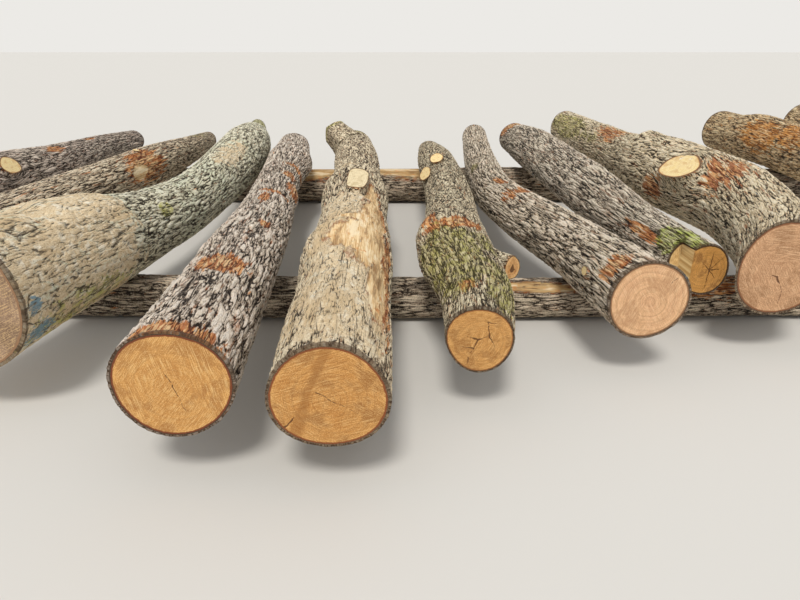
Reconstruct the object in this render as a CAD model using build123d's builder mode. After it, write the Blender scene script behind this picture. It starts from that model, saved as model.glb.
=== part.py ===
"""A heap of logs: eleven stems lying side by side across two lines of bearer logs.

The stems rest on the bearers by their own weight. Each one touches the crest of the
front line and the crest of the rear line, and the bearers lie on the ground.
"""

import os
from dataclasses import dataclass
from math import ceil, cos, pi, radians, sin

from build123d import *

# Sizes are in millimetres. +X runs along the bearers, +Y from the butt ends towards the
# far ends of the row, and +Z up from the ground. While the row is laid out, x is counted
# from the middle of the photographed view and y from the front line of bearers.

# Bearers
BEARER_SPAN = 3080.0
FRONT_BEARER_RADIUS = 135.0
REAR_BEARER_RADIUS = 182.0
BEARER_TAPER = 0.002
BEARER_SWAY = 25.0

# Stems
SEAT_CLEARANCE = 0.4
STEM_SIDES = 26
BEARER_SIDES = 20
SECTION_STEP = 520.0
SECTION_GAP = 120.0

# Sawn branch stubs: the collar and the neck behind the sawn face are wider than the
# face by these shares, and stand this share of the reach off the bark
STUB_SIDES = 14
COLLAR_FLARE = 1.35
COLLAR_REACH = -0.25
NECK_FLARE = 1.08
NECK_REACH = 0.5

# Step left in a butt end by the felling cut: its edge as a share of the radius from the
# heart, and the cutter's height as a share of the diameter
STEP_EDGE = 0.5
STEP_OVERCUT = 1.2


@dataclass(frozen=True)
class Knot:
    """A branch sawn off a stem.

    along is measured from the butt end and turn is the angle round the stem, with 0 on
    the +X side and 90 on top. reach is how far the sawn face stands off the bark, and
    lean tips the branch towards the far end.
    """

    along: float
    turn: float
    radius: float
    reach: float
    lean: float = 0.0


@dataclass(frozen=True)
class Stem:
    """One felled and cut tree stem.

    course and girth give the sideways place of the heart line and the radius at
    distances from the butt end. oval and lobe are the shares by which the section is
    flattened and three-sided, and each turns by its own angle. step_depth is how deep
    the felling cut left a step in the -X side of the butt end.
    """

    name: str
    butt_y: float
    course: tuple
    girth: tuple
    oval: float
    oval_turn: float
    lobe: float
    lobe_turn: float
    knots: tuple = ()
    step_depth: float = 0.0

    @property
    def length(self):
        return self.girth[-1][0]


@dataclass(frozen=True)
class Bearer:
    """One log of a bearer line, from its left end to its right end."""

    name: str
    left_x: float
    length: float
    radius: float
    line_y: float
    taper: float


STEMS = (
    Stem(
        name="log_1",
        butt_y=-420.0,
        course=((0, -4420), (1900, -4340), (2700, -4300), (3700, -4310), (4500, -4290)),
        girth=((0, 265), (900, 252), (1900, 240), (2700, 200), (3700, 165), (4500, 130)),
        oval=0.03,
        oval_turn=30,
        lobe=0.02,
        lobe_turn=10,
        knots=(Knot(along=1750, turn=35, radius=88, reach=14),),
    ),
    Stem(
        name="log_2",
        butt_y=-320.0,
        course=((0, -3720), (1400, -3600), (2000, -3500), (2600, -3400), (3600, -3370), (4500, -3400)),
        girth=(
            (0, 215), (700, 200), (1400, 190), (2000, 188), (2600, 192),
            (3100, 172), (3600, 150), (4500, 108),
        ),
        oval=0.02,
        oval_turn=70,
        lobe=0.025,
        lobe_turn=40,
        knots=(Knot(along=2340, turn=76, radius=32, reach=8),),
    ),
    Stem(
        name="log_3",
        butt_y=-1150.0,
        course=(
            (0, -2950), (400, -2890), (850, -2790), (1350, -2700), (2050, -2590),
            (2850, -2560), (3850, -2590), (4850, -2700), (6200, -2960),
        ),
        girth=(
            (0, 345), (400, 305), (850, 290), (1350, 230), (2050, 205),
            (2850, 220), (3850, 245), (4450, 222), (4850, 195), (5100, 150), (6200, 118),
        ),
        oval=0.03,
        oval_turn=100,
        lobe=0.02,
        lobe_turn=75,
    ),
    Stem(
        name="log_4",
        butt_y=-1610.0,
        course=((0, -1840), (800, -1875), (2100, -1935), (3100, -2045), (4000, -2080), (5000, -2190)),
        girth=(
            (0, 232), (400, 227), (800, 219), (1600, 205), (2100, 194), (3100, 170), (3650, 188),
            (3950, 204), (4150, 190), (4500, 182), (5000, 165),
        ),
        oval=0.025,
        oval_turn=10,
        lobe=0.02,
        lobe_turn=20,
    ),
    Stem(
        name="log_5",
        butt_y=-1660.0,
        course=((0, -1260), (1200, -1285), (2200, -1320), (3600, -1390), (4500, -1460), (4950, -1490)),
        girth=(
            (0, 225), (450, 233), (850, 228), (1250, 245), (1650, 233), (2150, 216), (2500, 240),
            (2750, 246), (2950, 214), (3600, 206), (4150, 214), (4550, 200), (4950, 172),
        ),
        oval=0.03,
        oval_turn=0,
        lobe=0.02,
        lobe_turn=90,
        knots=(
            Knot(along=2420, turn=80, radius=110, reach=10),
            Knot(along=4600, turn=138, radius=158, reach=70, lean=50),
        ),
    ),
    Stem(
        name="log_6",
        butt_y=-1130.0,
        course=(
            (0, -645), (350, -612), (650, -640), (1050, -685), (1450, -652),
            (2300, -618), (3400, -650), (4350, -672),
        ),
        girth=(
            (0, 160), (350, 188), (650, 198), (1000, 222), (1150, 218), (1450, 192), (2300, 184),
            (3000, 186), (3500, 180), (4350, 128),
        ),
        oval=0.03,
        oval_turn=120,
        lobe=0.03,
        lobe_turn=30,
        knots=(
            Knot(along=900, turn=8, radius=54, reach=62, lean=-48),
            Knot(along=2640, turn=146, radius=60, reach=14, lean=8),
            Knot(along=2890, turn=107, radius=52, reach=10, lean=8),
        ),
    ),
    Stem(
        name="log_7",
        butt_y=-800.0,
        course=(
            (0, 225), (400, 158), (800, 92), (1200, -20), (1600, -122),
            (2100, -220), (2900, -220), (3700, -180), (4850, -92),
        ),
        girth=(
            (0, 207), (400, 196), (800, 182), (1200, 181), (1600, 173), (2100, 164), (2900, 162),
            (3700, 154), (4850, 150),
        ),
        oval=0.02,
        oval_turn=60,
        lobe=0.015,
        lobe_turn=0,
        knots=(Knot(along=290, turn=166, radius=28, reach=8),),
    ),
    Stem(
        name="log_8",
        butt_y=-270.0,
        course=((0, 748), (750, 620), (1550, 515), (2250, 475), (3150, 405), (4100, 352)),
        girth=(
            (0, 152), (400, 158), (750, 166), (1150, 190), (1550, 210), (2250, 206),
            (3150, 214), (3600, 195), (4100, 172),
        ),
        oval=0.03,
        oval_turn=90,
        lobe=0.025,
        lobe_turn=60,
        step_depth=150.0,
    ),
    Stem(
        name="log_9",
        butt_y=-540.0,
        course=(
            (0, 1025), (300, 1185), (600, 1280), (1200, 1405), (1800, 1320), (2400, 1255),
            (3200, 1260), (5050, 1140),
        ),
        girth=(
            (0, 264), (500, 255), (800, 262), (1200, 276), (1800, 284), (2400, 280), (2800, 240),
            (3200, 220), (4000, 208), (5050, 200),
        ),
        oval=0.02,
        oval_turn=80,
        lobe=0.02,
        lobe_turn=110,
        knots=(Knot(along=1570, turn=138, radius=160, reach=14),),
    ),
    Stem(
        name="log_10",
        butt_y=-320.0,
        course=((0, 3040), (2400, 3050), (3400, 3080), (3900, 3040), (4500, 2980)),
        girth=(
            (0, 290), (1400, 270), (2400, 266), (3400, 245), (3700, 258),
            (3950, 254), (4100, 228), (4500, 230),
        ),
        oval=0.03,
        oval_turn=45,
        lobe=0.02,
        lobe_turn=0,
    ),
    Stem(
        name="log_11",
        butt_y=-420.0,
        course=((0, 4450), (2500, 4500), (5500, 4520)),
        girth=((0, 275), (1200, 262), (2500, 252), (4000, 238), (5500, 232)),
        oval=0.02,
        oval_turn=20,
        lobe=0.025,
        lobe_turn=80,
    ),
)

BEARERS = (
    Bearer("front_bearer_left", -5030.0, 5500.0, FRONT_BEARER_RADIUS, 0.0, -BEARER_TAPER),
    Bearer("front_bearer_right", 500.0, 4500.0, FRONT_BEARER_RADIUS, 0.0, BEARER_TAPER),
    Bearer("rear_bearer_left", -4930.0, 5000.0, REAR_BEARER_RADIUS, BEARER_SPAN, BEARER_TAPER),
    Bearer("rear_bearer_right", 100.0, 5000.0, REAR_BEARER_RADIUS, BEARER_SPAN, -BEARER_TAPER),
)


def along_curve(points, place):
    """Value at a place on the smooth curve through (place, value) points."""
    if place <= points[0][0]:
        return points[0][1]
    if place >= points[-1][0]:
        return points[-1][1]
    slopes = []
    for index in range(len(points)):
        before = points[max(index - 1, 0)]
        after = points[min(index + 1, len(points) - 1)]
        slopes.append((after[1] - before[1]) / (after[0] - before[0]))
    spans = zip(points, points[1:], slopes, slopes[1:])
    start, end, leave, arrive = next(span for span in spans if place <= span[1][0])
    width = end[0] - start[0]
    part = (place - start[0]) / width
    rest = 1 - part
    return (
        start[1] * (1 + 2 * part) * rest**2
        + end[1] * part**2 * (3 - 2 * part)
        + width * part * rest * (leave * rest - arrive * part)
    )


def section_share(stem, angle):
    """Distance from the heart line to the bark at an angle, as a share of the radius."""
    oval = stem.oval * cos(2 * (angle - radians(stem.oval_turn)))
    lobe = stem.lobe * cos(3 * (angle - radians(stem.lobe_turn)))
    return 1 + oval + lobe


def section_outline(stem, radius):
    """Corners of a stem's section about its heart, across and up."""
    corners = []
    for index in range(STEM_SIDES):
        angle = 2 * pi * index / STEM_SIDES
        reach = radius * section_share(stem, angle)
        corners.append((reach * cos(angle), reach * sin(angle)))
    return corners


def lowest_share(stem):
    """How far a stem's section reaches below its heart, as a share of the radius."""
    return -min(up for _, up in section_outline(stem, 1.0))


def bearer_under(stem, line_y):
    """The bearer that a stem crosses on one of the two lines."""
    x = along_curve(stem.course, line_y - stem.butt_y)
    crossed = (bearer for bearer in BEARERS if bearer.line_y == line_y)
    return next(b for b in crossed if b.left_x <= x <= b.left_x + b.length)


def bearer_radius(bearer, x):
    """Radius of a bearer at x, on its straight taper."""
    return bearer.radius + bearer.taper * (x - bearer.left_x - bearer.length / 2)


def bearer_heart_y(bearer, x):
    """Heart line of a bearer at x, with its gentle sideways sway."""
    return bearer.line_y + BEARER_SWAY * sin(2 * pi * (x - bearer.left_x) / bearer.length)


def seat(stem, line_y):
    """Where a stem's underside passes over a bearer: y and the crest's height."""
    bearer = bearer_under(stem, line_y)
    x = along_curve(stem.course, line_y - stem.butt_y)
    return bearer_heart_y(bearer, x), 2 * bearer_radius(bearer, x)


def underside(stem, y):
    """Height of a stem's straight underside at y."""
    front_y, front_crest = seat(stem, 0.0)
    rear_y, rear_crest = seat(stem, BEARER_SPAN)
    slope = (rear_crest - front_crest) / (rear_y - front_y)
    return front_crest + SEAT_CLEARANCE + slope * (y - front_y)


def heart(stem, along):
    """Point of a stem's heart line at a distance from the butt end."""
    y = stem.butt_y + along
    radius = along_curve(stem.girth, along)
    return (along_curve(stem.course, along), y, underside(stem, y) + lowest_share(stem) * radius)


def section_places(stem):
    """Distances from the butt end at which a stem's sections are drawn.

    There is one where the stem crosses each bearer and one at each girth, and more
    where the stem would run straight for too long between them.
    """
    seats = [seat(stem, line_y)[0] - stem.butt_y for line_y in (0.0, BEARER_SPAN)]
    girths = [along for along, _ in stem.girth]
    free = [along for along in girths if min(abs(along - place) for place in seats) > SECTION_GAP]
    stops = sorted(seats + free)
    places = [stops[0]]
    for start, end in zip(stops, stops[1:]):
        steps = ceil((end - start) / SECTION_STEP)
        places += [start + (end - start) * step / steps for step in range(1, steps + 1)]
    return places


def branch_stub(stem, knot):
    """The sawn stub of a branch, from the stem's heart out past its swollen collar."""
    angle = radians(knot.turn)
    lean = radians(knot.lean)
    radius = along_curve(stem.girth, knot.along) * section_share(stem, angle)
    outward = Vector(cos(angle) * cos(lean), sin(lean), sin(angle) * cos(lean))
    start = Vector(*heart(stem, knot.along))
    bark = radius / cos(lean)
    rings = (
        (0.0, knot.radius),
        (bark + knot.reach * COLLAR_REACH, knot.radius * COLLAR_FLARE),
        (bark + knot.reach * NECK_REACH, knot.radius * NECK_FLARE),
        (bark + knot.reach, knot.radius),
    )
    with BuildPart() as stub:
        for distance, ring_radius in rings:
            with BuildSketch(Plane(origin=start + outward * distance, z_dir=outward)):
                RegularPolygon(ring_radius, STUB_SIDES)
        loft(ruled=True)
    return stub.part


def make_stem(stem):
    """A stem with the stubs of its branches."""
    with BuildPart() as trunk:
        for along in section_places(stem):
            plane = Plane(origin=heart(stem, along), x_dir=(1, 0, 0), z_dir=(0, -1, 0))
            with BuildSketch(plane):
                with BuildLine():
                    Polyline(*section_outline(stem, along_curve(stem.girth, along)), close=True)
                make_face()
        loft(ruled=True)
        for knot in stem.knots:
            add(branch_stub(stem, knot))
        if stem.step_depth:
            butt_radius = stem.girth[0][1]
            butt_diameter = 2 * butt_radius
            with BuildSketch(Plane(origin=heart(stem, 0), x_dir=(1, 0, 0), z_dir=(0, -1, 0))):
                with Locations((-butt_radius * STEP_EDGE, 0)):
                    Rectangle(butt_radius, butt_diameter * STEP_OVERCUT, align=(Align.MAX, Align.CENTER))
            extrude(amount=-stem.step_depth, mode=Mode.SUBTRACT)
    trunk.part.label = stem.name
    return trunk.part


def make_bearer(bearer):
    """A bearer log, straight underneath, with a section wherever a stem crosses it."""
    crossings = []
    for stem in STEMS:
        if bearer_under(stem, bearer.line_y) is bearer:
            crossings.append(along_curve(stem.course, bearer.line_y - stem.butt_y))
    stations = [bearer.left_x, *sorted(crossings), bearer.left_x + bearer.length]
    with BuildPart() as log:
        for x in stations:
            radius = bearer_radius(bearer, x)
            middle = (x, bearer_heart_y(bearer, x), radius)
            with BuildSketch(Plane(origin=middle, x_dir=(0, 1, 0), z_dir=(1, 0, 0))):
                RegularPolygon(radius, BEARER_SIDES)
        loft(ruled=True)
    log.part.label = bearer.name
    return log.part


def main():
    """Build every log, centre the heap on the ground and write the parts."""
    pieces = [make_bearer(bearer) for bearer in BEARERS]
    pieces += [make_stem(stem) for stem in STEMS]
    boxes = [piece.bounding_box() for piece in pieces]
    middle_x = (min(box.min.X for box in boxes) + max(box.max.X for box in boxes)) / 2
    middle_y = (min(box.min.Y for box in boxes) + max(box.max.Y for box in boxes)) / 2
    ground_z = min(box.min.Z for box in boxes)
    os.makedirs("parts", exist_ok=True)
    for piece in pieces:
        piece.move(Location((-middle_x, -middle_y, -ground_z)))
        export_step(piece, f"parts/{piece.label}.step")
    print("moved by", -middle_x, -middle_y, -ground_z)


if __name__ == "__main__":
    main()
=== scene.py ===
"""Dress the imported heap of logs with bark, sawn wood, moss, mud and wear."""

import logging
import math
from dataclasses import dataclass, field
from enum import Enum

import bpy
import numpy as np
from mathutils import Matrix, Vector
from mathutils.bvhtree import BVHTree


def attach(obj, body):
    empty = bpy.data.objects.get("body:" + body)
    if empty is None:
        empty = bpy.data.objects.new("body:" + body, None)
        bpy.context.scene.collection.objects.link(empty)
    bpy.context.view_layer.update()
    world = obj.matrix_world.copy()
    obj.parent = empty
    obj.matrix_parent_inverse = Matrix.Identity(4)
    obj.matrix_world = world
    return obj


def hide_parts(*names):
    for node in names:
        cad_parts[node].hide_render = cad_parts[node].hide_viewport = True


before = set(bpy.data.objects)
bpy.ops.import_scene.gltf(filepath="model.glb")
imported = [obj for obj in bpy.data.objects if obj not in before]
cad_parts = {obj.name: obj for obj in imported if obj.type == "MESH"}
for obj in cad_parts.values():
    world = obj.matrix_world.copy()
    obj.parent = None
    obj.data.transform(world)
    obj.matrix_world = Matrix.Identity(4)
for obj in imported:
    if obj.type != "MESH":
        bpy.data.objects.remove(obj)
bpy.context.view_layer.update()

log = logging.getLogger("heap_of_logs")

# Camera of the photograph: where it stands, how far it looks down, and its lens
CAMERA_PLACE = (-1.035, -5.23, 1.6)
CAMERA_TILT_DOWN = 22.99
LENS = 27.05

# Reading the CAD skins
RAYS = 72
STATION_STEP = 0.04
HARMONICS = 7
SMOOTHING = 0.09
END_INSET = 0.004

# Grids, in metres and in cells
ROW_NEAR = 0.018
ROW_FAR = 0.034
FACE_RINGS = 14


class Cover(Enum):
    """What a patch on the bark is."""

    BARE = "bare"
    TORN = "torn"
    MOSS = "moss"
    MUD = "mud"
    PAINT = "paint"


class Lie(Enum):
    """Which way a log lies."""

    STEM = "stem"
    BEARER = "bearer"


@dataclass(frozen=True)
class Patch:
    """A patch on the bark, as a soft oval.

    along and the half sizes are in metres, and turn is in degrees round the log.
    """

    cover: Cover
    along: float
    turn: float
    length: float
    width: float
    strength: float = 1.0


@dataclass(frozen=True)
class Swell:
    """A swelling or, with a negative height, a hollow in the skin, as a soft oval."""

    along: float
    turn: float
    length: float
    width: float
    height: float


@dataclass(frozen=True)
class Ledge:
    """A fold round the log: the skin swells towards it and drops behind it.

    turn is where it stands highest, spread is how far round it reaches in degrees, and
    skew tips it along the log, in metres for a quarter turn.
    """

    along: float
    turn: float
    spread: float
    height: float
    run: float = 0.22
    skew: float = 0.0


@dataclass(frozen=True)
class Crack:
    """A straight drying crack on a sawn face, in shares of the face's radius."""

    start: tuple[float, float]
    end: tuple[float, float]
    width: float = 0.014


@dataclass(frozen=True)
class BarkFinish:
    """Colours and relief of one log's bark."""

    name: str
    # crest, middle and furrow are the bark's tones from ridge to furrow: the furrow's near-black is partly the bark's
    # own dark and partly painted shade, the crests' paleness is partly painted light, and glint is a painted highlight
    # on the highest crests.
    crest: str = "b8a993"
    crest_alt: str = "dcc9b1"
    middle: str = "89745e"
    furrow: str = "31251c"
    glint: str = "f1e3cf"
    torn: str = "b96d34"
    torn_pale: str = "e3a263"
    torn_dark: str = "63321d"
    splinter: str = "f0c791"
    # moss_dark is the moss's tone down in the furrows, partly its own colour and partly painted shade.
    moss: str = "928849"
    moss_dark: str = "4c491d"
    lichen_tint: str = "b2b795"
    mud: str = "f6e2bf"
    mud_dark: str = "dec297"
    mud_pale: str = "fbeed4"
    wood: str = "f6dbab"
    edge: str = "5c4734"
    cell: float = 0.022
    stretch: float = 0.15
    depth: float = 0.016
    flecks: float = 0.35
    lichen: float = 0.25
    seed: float = 0.0


@dataclass(frozen=True)
class FaceFinish:
    """Colours, rings and cracks of a sawn face."""

    name: str
    heart: str = "dca15c"
    sapwood: str = "f0be7f"
    dark: str = "b87e43"
    bright: str = "f6d095"
    rim: str = "753c24"
    bark: str = "66523f"
    bark_share: float = 0.075
    ring_gap: float = 0.024
    ring_strength: float = 0.40
    pith: tuple[float, float] = (0.03, -0.04)
    cracks: tuple[Crack, ...] = ()
    stains: tuple[Crack, ...] = ()
    rim_from: float = 0.84
    streak: float = 0.5
    hinge: float = -2.0
    seed: float = 0.0


@dataclass(frozen=True)
class Branch:
    """A branch sawn off a log.

    lean tips it towards the far end. oval gives its size along the log and across it
    as shares of the radius, and square is 1 for a round face and more for a boxy one.
    slant is how far the saw cut leans along the log and across it, as a slope, and
    mossy is how strongly moss grows on its edge.
    """

    name: str
    along: float
    turn: float
    radius: float
    reach: float
    lean: float = 0.0
    oval: tuple[float, float] = (1.0, 1.0)
    square: float = 1.0
    flare: float = 0.35
    slant: tuple[float, float] = (0.0, 0.0)
    mossy: float = 0.0
    face: FaceFinish | None = None


@dataclass(frozen=True)
class LogLook:
    """Everything that sets one log apart from its neighbours."""

    node: str
    length: float
    bark: BarkFinish
    face: FaceFinish
    far_face: FaceFinish
    patches: tuple[Patch, ...] = ()
    branches: tuple[Branch, ...] = ()
    swells: tuple[Swell, ...] = ()
    ledges: tuple[Ledge, ...] = ()
    lie: Lie = Lie.STEM
    columns: int = 160
    read_from: float = END_INSET
    read_to: float | None = None
    step_depth: float = 0.0
    step_edge: float = 0.5
    twist: float = 0.0
    slot: str = "bark"


def colour(code: str) -> tuple[float, float, float, float]:
    """Turn a display colour into linear light.

    Args:
        code: six hexadecimal digits.

    Returns:
        Red, green, blue and full opacity.
    """
    parts = [int(code[i : i + 2], 16) / 255 for i in (0, 2, 4)]
    linear = [p / 12.92 if p <= 0.04045 else ((p + 0.055) / 1.055) ** 2.4 for p in parts]
    return (*linear, 1.0)


class Sketch:
    """Short ways to add nodes that work alike in material and geometry trees."""

    def __init__(self, tree: bpy.types.NodeTree) -> None:
        """Keep the tree to draw in."""
        self.tree = tree

    def node(self, kind: str, **settings: object) -> bpy.types.Node:
        """Add a node.

        Args:
            kind: the node's type name.
            **settings: properties to set on it.

        Returns:
            The new node.
        """
        made = self.tree.nodes.new(kind)
        for name, value in settings.items():
            setattr(made, name, value)
        return made

    def feed(self, socket: bpy.types.NodeSocket, value: object) -> None:
        """Link a socket to another, or set its value."""
        if isinstance(value, bpy.types.NodeSocket):
            self.tree.links.new(value, socket)
        else:
            socket.default_value = value

    def maths(self, operation: str, a: object, b: object = 0.0, c: object = 0.0) -> bpy.types.NodeSocket:
        """Add a Math node and return its result."""
        made = self.node("ShaderNodeMath", operation=operation)
        for socket, value in zip(made.inputs, (a, b, c)):
            self.feed(socket, value)
        return made.outputs[0]

    def vector(self, operation: str, a: object, b: object = (0, 0, 0), scale: object = 1.0) -> bpy.types.NodeSocket:
        """Add a Vector Math node and return its vector, or its number for a length or dot product."""
        made = self.node("ShaderNodeVectorMath", operation=operation)
        self.feed(made.inputs[0], a)
        if operation == "SCALE":
            self.feed(made.inputs[3], scale)
        elif operation != "LENGTH":
            self.feed(made.inputs[1], b)
        return made.outputs[1 if operation in ("LENGTH", "DOT_PRODUCT") else 0]

    def noise(self, place: object, scale: object, detail: float = 3.0, rough: float = 0.5) -> bpy.types.NodeSocket:
        """Add a noise texture and return its value, from 0 to 1."""
        made = self.node("ShaderNodeTexNoise")
        self.feed(made.inputs["Vector"], place)
        self.feed(made.inputs["Scale"], scale)
        self.feed(made.inputs["Detail"], detail)
        self.feed(made.inputs["Roughness"], rough)
        return made.outputs[0]

    def wander(self, place: object, scale: object, amount: object) -> bpy.types.NodeSocket:
        """Shift a place by smooth noise, so that straight patterns waver."""
        made = self.node("ShaderNodeTexNoise")
        self.feed(made.inputs["Vector"], place)
        self.feed(made.inputs["Scale"], scale)
        self.feed(made.inputs["Detail"], 2.0)
        centred = self.vector("SUBTRACT", made.outputs[1], (0.5, 0.5, 0.5))
        return self.vector("ADD", place, self.vector("SCALE", centred, scale=amount))

    def cells(self, place: object, scale: object) -> bpy.types.NodeSocket:
        """Add a cell texture and return the distance to the nearest cell's edge."""
        made = self.node("ShaderNodeTexVoronoi", feature="DISTANCE_TO_EDGE")
        self.feed(made.inputs["Vector"], place)
        self.feed(made.inputs["Scale"], scale)
        return made.outputs["Distance"]

    def step(self, value: object, low: object, high: object) -> bpy.types.NodeSocket:
        """Rise smoothly from 0 at low to 1 at high."""
        made = self.node("ShaderNodeMapRange", interpolation_type="SMOOTHSTEP")
        for socket, number in zip(made.inputs, (value, low, high)):
            self.feed(socket, number)
        return made.outputs[0]

    def mix(self, share: object, a: object, b: object) -> bpy.types.NodeSocket:
        """Blend two colours."""
        made = self.node("ShaderNodeMix", data_type="RGBA")
        self.feed(made.inputs[0], share)
        self.feed(made.inputs[6], a)
        self.feed(made.inputs[7], b)
        return made.outputs[2]

    def ragged(self, value: object, place: object, scale: float, amount: float) -> bpy.types.NodeSocket:
        """Turn a soft patch value into a mask with a ragged edge."""
        wobble = self.maths("SUBTRACT", self.noise(place, scale, 5.0, 0.72), 0.5)
        uneven = self.maths("MULTIPLY_ADD", wobble, amount, value)
        return self.step(uneven, 0.44, 0.56)

    def furrow_lines(self, place: object, scale: object, width: float) -> bpy.types.NodeSocket:
        """Draw winding furrows, 0 in a furrow and 1 beside it."""
        line = self.maths("ABSOLUTE", self.maths("SUBTRACT", self.noise(place, scale, 1.5, 0.5), 0.5))
        return self.step(line, 0.0, width)

    def bark_height(self, place: object, cells_per_metre: object) -> bpy.types.NodeSocket:
        """Height of furrowed bark, about 0 in a furrow and 1 on a ridge."""
        wavering = self.wander(place, 13.0, 0.045)
        jagged = self.wander(wavering, 62.0, 0.008)
        shifted = self.vector("ADD", jagged, (3.1, 1.7, 0.4))
        wide = self.maths("MULTIPLY", cells_per_metre, 0.85)
        broad = self.maths(
            "MULTIPLY", self.furrow_lines(jagged, wide, 0.095), self.furrow_lines(shifted, wide, 0.08)
        )
        plates = self.step(self.cells(jagged, cells_per_metre), 0.0, 0.15)
        finer = self.maths("MULTIPLY", cells_per_metre, 2.8)
        small = self.step(self.cells(jagged, finer), 0.0, 0.28)
        lumps = self.noise(wavering, 24.0, 4.0, 0.65)
        grit = self.noise(jagged, 190.0, 5.0, 0.75)
        height = self.maths("MULTIPLY_ADD", broad, 0.44, self.maths("MULTIPLY", plates, 0.16))
        height = self.maths("MULTIPLY_ADD", small, 0.16, height)
        height = self.maths("MULTIPLY_ADD", self.maths("SUBTRACT", lumps, 0.32), 0.55, height)
        return self.maths("MULTIPLY_ADD", self.maths("SUBTRACT", grit, 0.25), 0.62, height)


@dataclass
class ReliefTree:
    """The node tree that raises bark ridges on a smooth skin and finishes its ends."""

    tree: bpy.types.NodeTree = field(init=False)
    sockets: dict[str, str] = field(init=False, default_factory=dict)

    def __post_init__(self) -> None:
        """Build the tree once for every log."""
        self.tree = bpy.data.node_groups.new("bark_relief", "GeometryNodeTree")
        interface = self.tree.interface
        interface.new_socket("Skin", in_out="INPUT", socket_type="NodeSocketGeometry")
        for name, kind in (
            ("Depth", "NodeSocketFloat"),
            ("Cells per metre", "NodeSocketFloat"),
            ("Bare depth", "NodeSocketFloat"),
            ("Dents", "NodeSocketFloat"),
            ("Bark finish", "NodeSocketMaterial"),
            ("Wood finish", "NodeSocketMaterial"),
            ("Far wood finish", "NodeSocketMaterial"),
        ):
            made = interface.new_socket(name, in_out="INPUT", socket_type=kind)
            self.sockets[name] = made.identifier
        interface.new_socket("Log", in_out="OUTPUT", socket_type="NodeSocketGeometry")
        self._wire()

    def _read(self, sketch: Sketch, name: str, kind: str = "FLOAT") -> bpy.types.NodeSocket:
        """Read a named attribute of the skin."""
        made = sketch.node("GeometryNodeInputNamedAttribute", data_type=kind)
        made.inputs[0].default_value = name
        return next(s for s in made.outputs if s.enabled and s.name == "Attribute")

    def _wire(self) -> None:
        """Wire the relief, the dents and the finishes."""
        sketch = Sketch(self.tree)
        given = sketch.node("NodeGroupInput").outputs
        place = self._read(sketch, "bark_co", "FLOAT_VECTOR")
        height = sketch.bark_height(place, given["Cells per metre"])
        bare = sketch.ragged(self._read(sketch, "bare"), place, 20.0, 1.3)
        torn = sketch.ragged(self._read(sketch, "torn"), place, 46.0, 3.2)
        mud = sketch.step(self._read(sketch, "mud"), 0.2, 0.8)
        low = sketch.maths("SUBTRACT", sketch.maths("MINIMUM", height, 1.0), 0.95)
        kept = sketch.maths("MULTIPLY_ADD", mud, -0.35, 1.0)
        kept = sketch.maths("MULTIPLY", kept, sketch.maths("SUBTRACT", 1.0, bare))
        kept = sketch.maths("MULTIPLY", kept, sketch.maths("MULTIPLY_ADD", torn, -0.5, 1.0))
        furrows = sketch.maths("MULTIPLY", sketch.maths("MULTIPLY", low, given["Depth"]), kept)
        stripped = sketch.maths("MULTIPLY", bare, given["Bare depth"])
        stripped = sketch.maths("MULTIPLY_ADD", torn, 0.006, stripped)
        dents = sketch.maths("SUBTRACT", sketch.noise(place, 5.0, 2.0), 0.5)
        offset = sketch.maths("MULTIPLY_ADD", dents, given["Dents"], furrows)
        offset = sketch.maths("SUBTRACT", offset, stripped)
        offset = sketch.maths("MULTIPLY", offset, self._read(sketch, "relief"))
        moved = sketch.node("GeometryNodeSetPosition")
        sketch.feed(moved.inputs["Geometry"], given["Skin"])
        outward = self._read(sketch, "outward", "FLOAT_VECTOR")
        sketch.feed(moved.inputs["Offset"], sketch.vector("SCALE", outward, scale=offset))
        whole = sketch.node("GeometryNodeRealizeInstances")
        sketch.feed(whole.inputs[0], moved.outputs[0])
        result = whole.outputs[0]
        part = self._read(sketch, "part")
        for finish, low_edge in (("Bark finish", -0.5), ("Wood finish", 0.5), ("Far wood finish", 1.5)):
            chosen = sketch.maths("GREATER_THAN", part, low_edge)
            painted = sketch.node("GeometryNodeSetMaterial")
            sketch.feed(painted.inputs["Geometry"], result)
            sketch.feed(painted.inputs["Selection"], chosen)
            sketch.feed(painted.inputs["Material"], given[finish])
            result = painted.outputs[0]
        sketch.feed(sketch.node("NodeGroupOutput").inputs[0], result)

    def apply(
        self,
        piece: bpy.types.Object,
        bark: BarkFinish,
        finishes: tuple[bpy.types.Material, bpy.types.Material, bpy.types.Material],
        share: float = 1.0,
    ) -> None:
        """Raise the relief on a piece and keep the result as its plain mesh.

        Args:
            piece: the object with the smooth skin.
            bark: the relief's sizes.
            finishes: the bark, the near face's wood and the far face's wood.
            share: how much of the full depth to use.
        """
        modifier = piece.modifiers.new("relief", "NODES")
        modifier.node_group = self.tree
        values = (
            ("Depth", bark.depth * share),
            ("Cells per metre", 1.0 / bark.cell),
            ("Bare depth", 0.012 * share),
            ("Dents", 0.016 * share),
            ("Bark finish", finishes[0]),
            ("Wood finish", finishes[1]),
            ("Far wood finish", finishes[2]),
        )
        for name, value in values:
            modifier[self.sockets[name]] = value
        depsgraph = bpy.context.evaluated_depsgraph_get()
        evaluated = piece.evaluated_get(depsgraph)
        mesh = bpy.data.meshes.new_from_object(evaluated, preserve_all_data_layers=True, depsgraph=depsgraph)
        piece.modifiers.clear()
        piece.data = mesh


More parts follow.
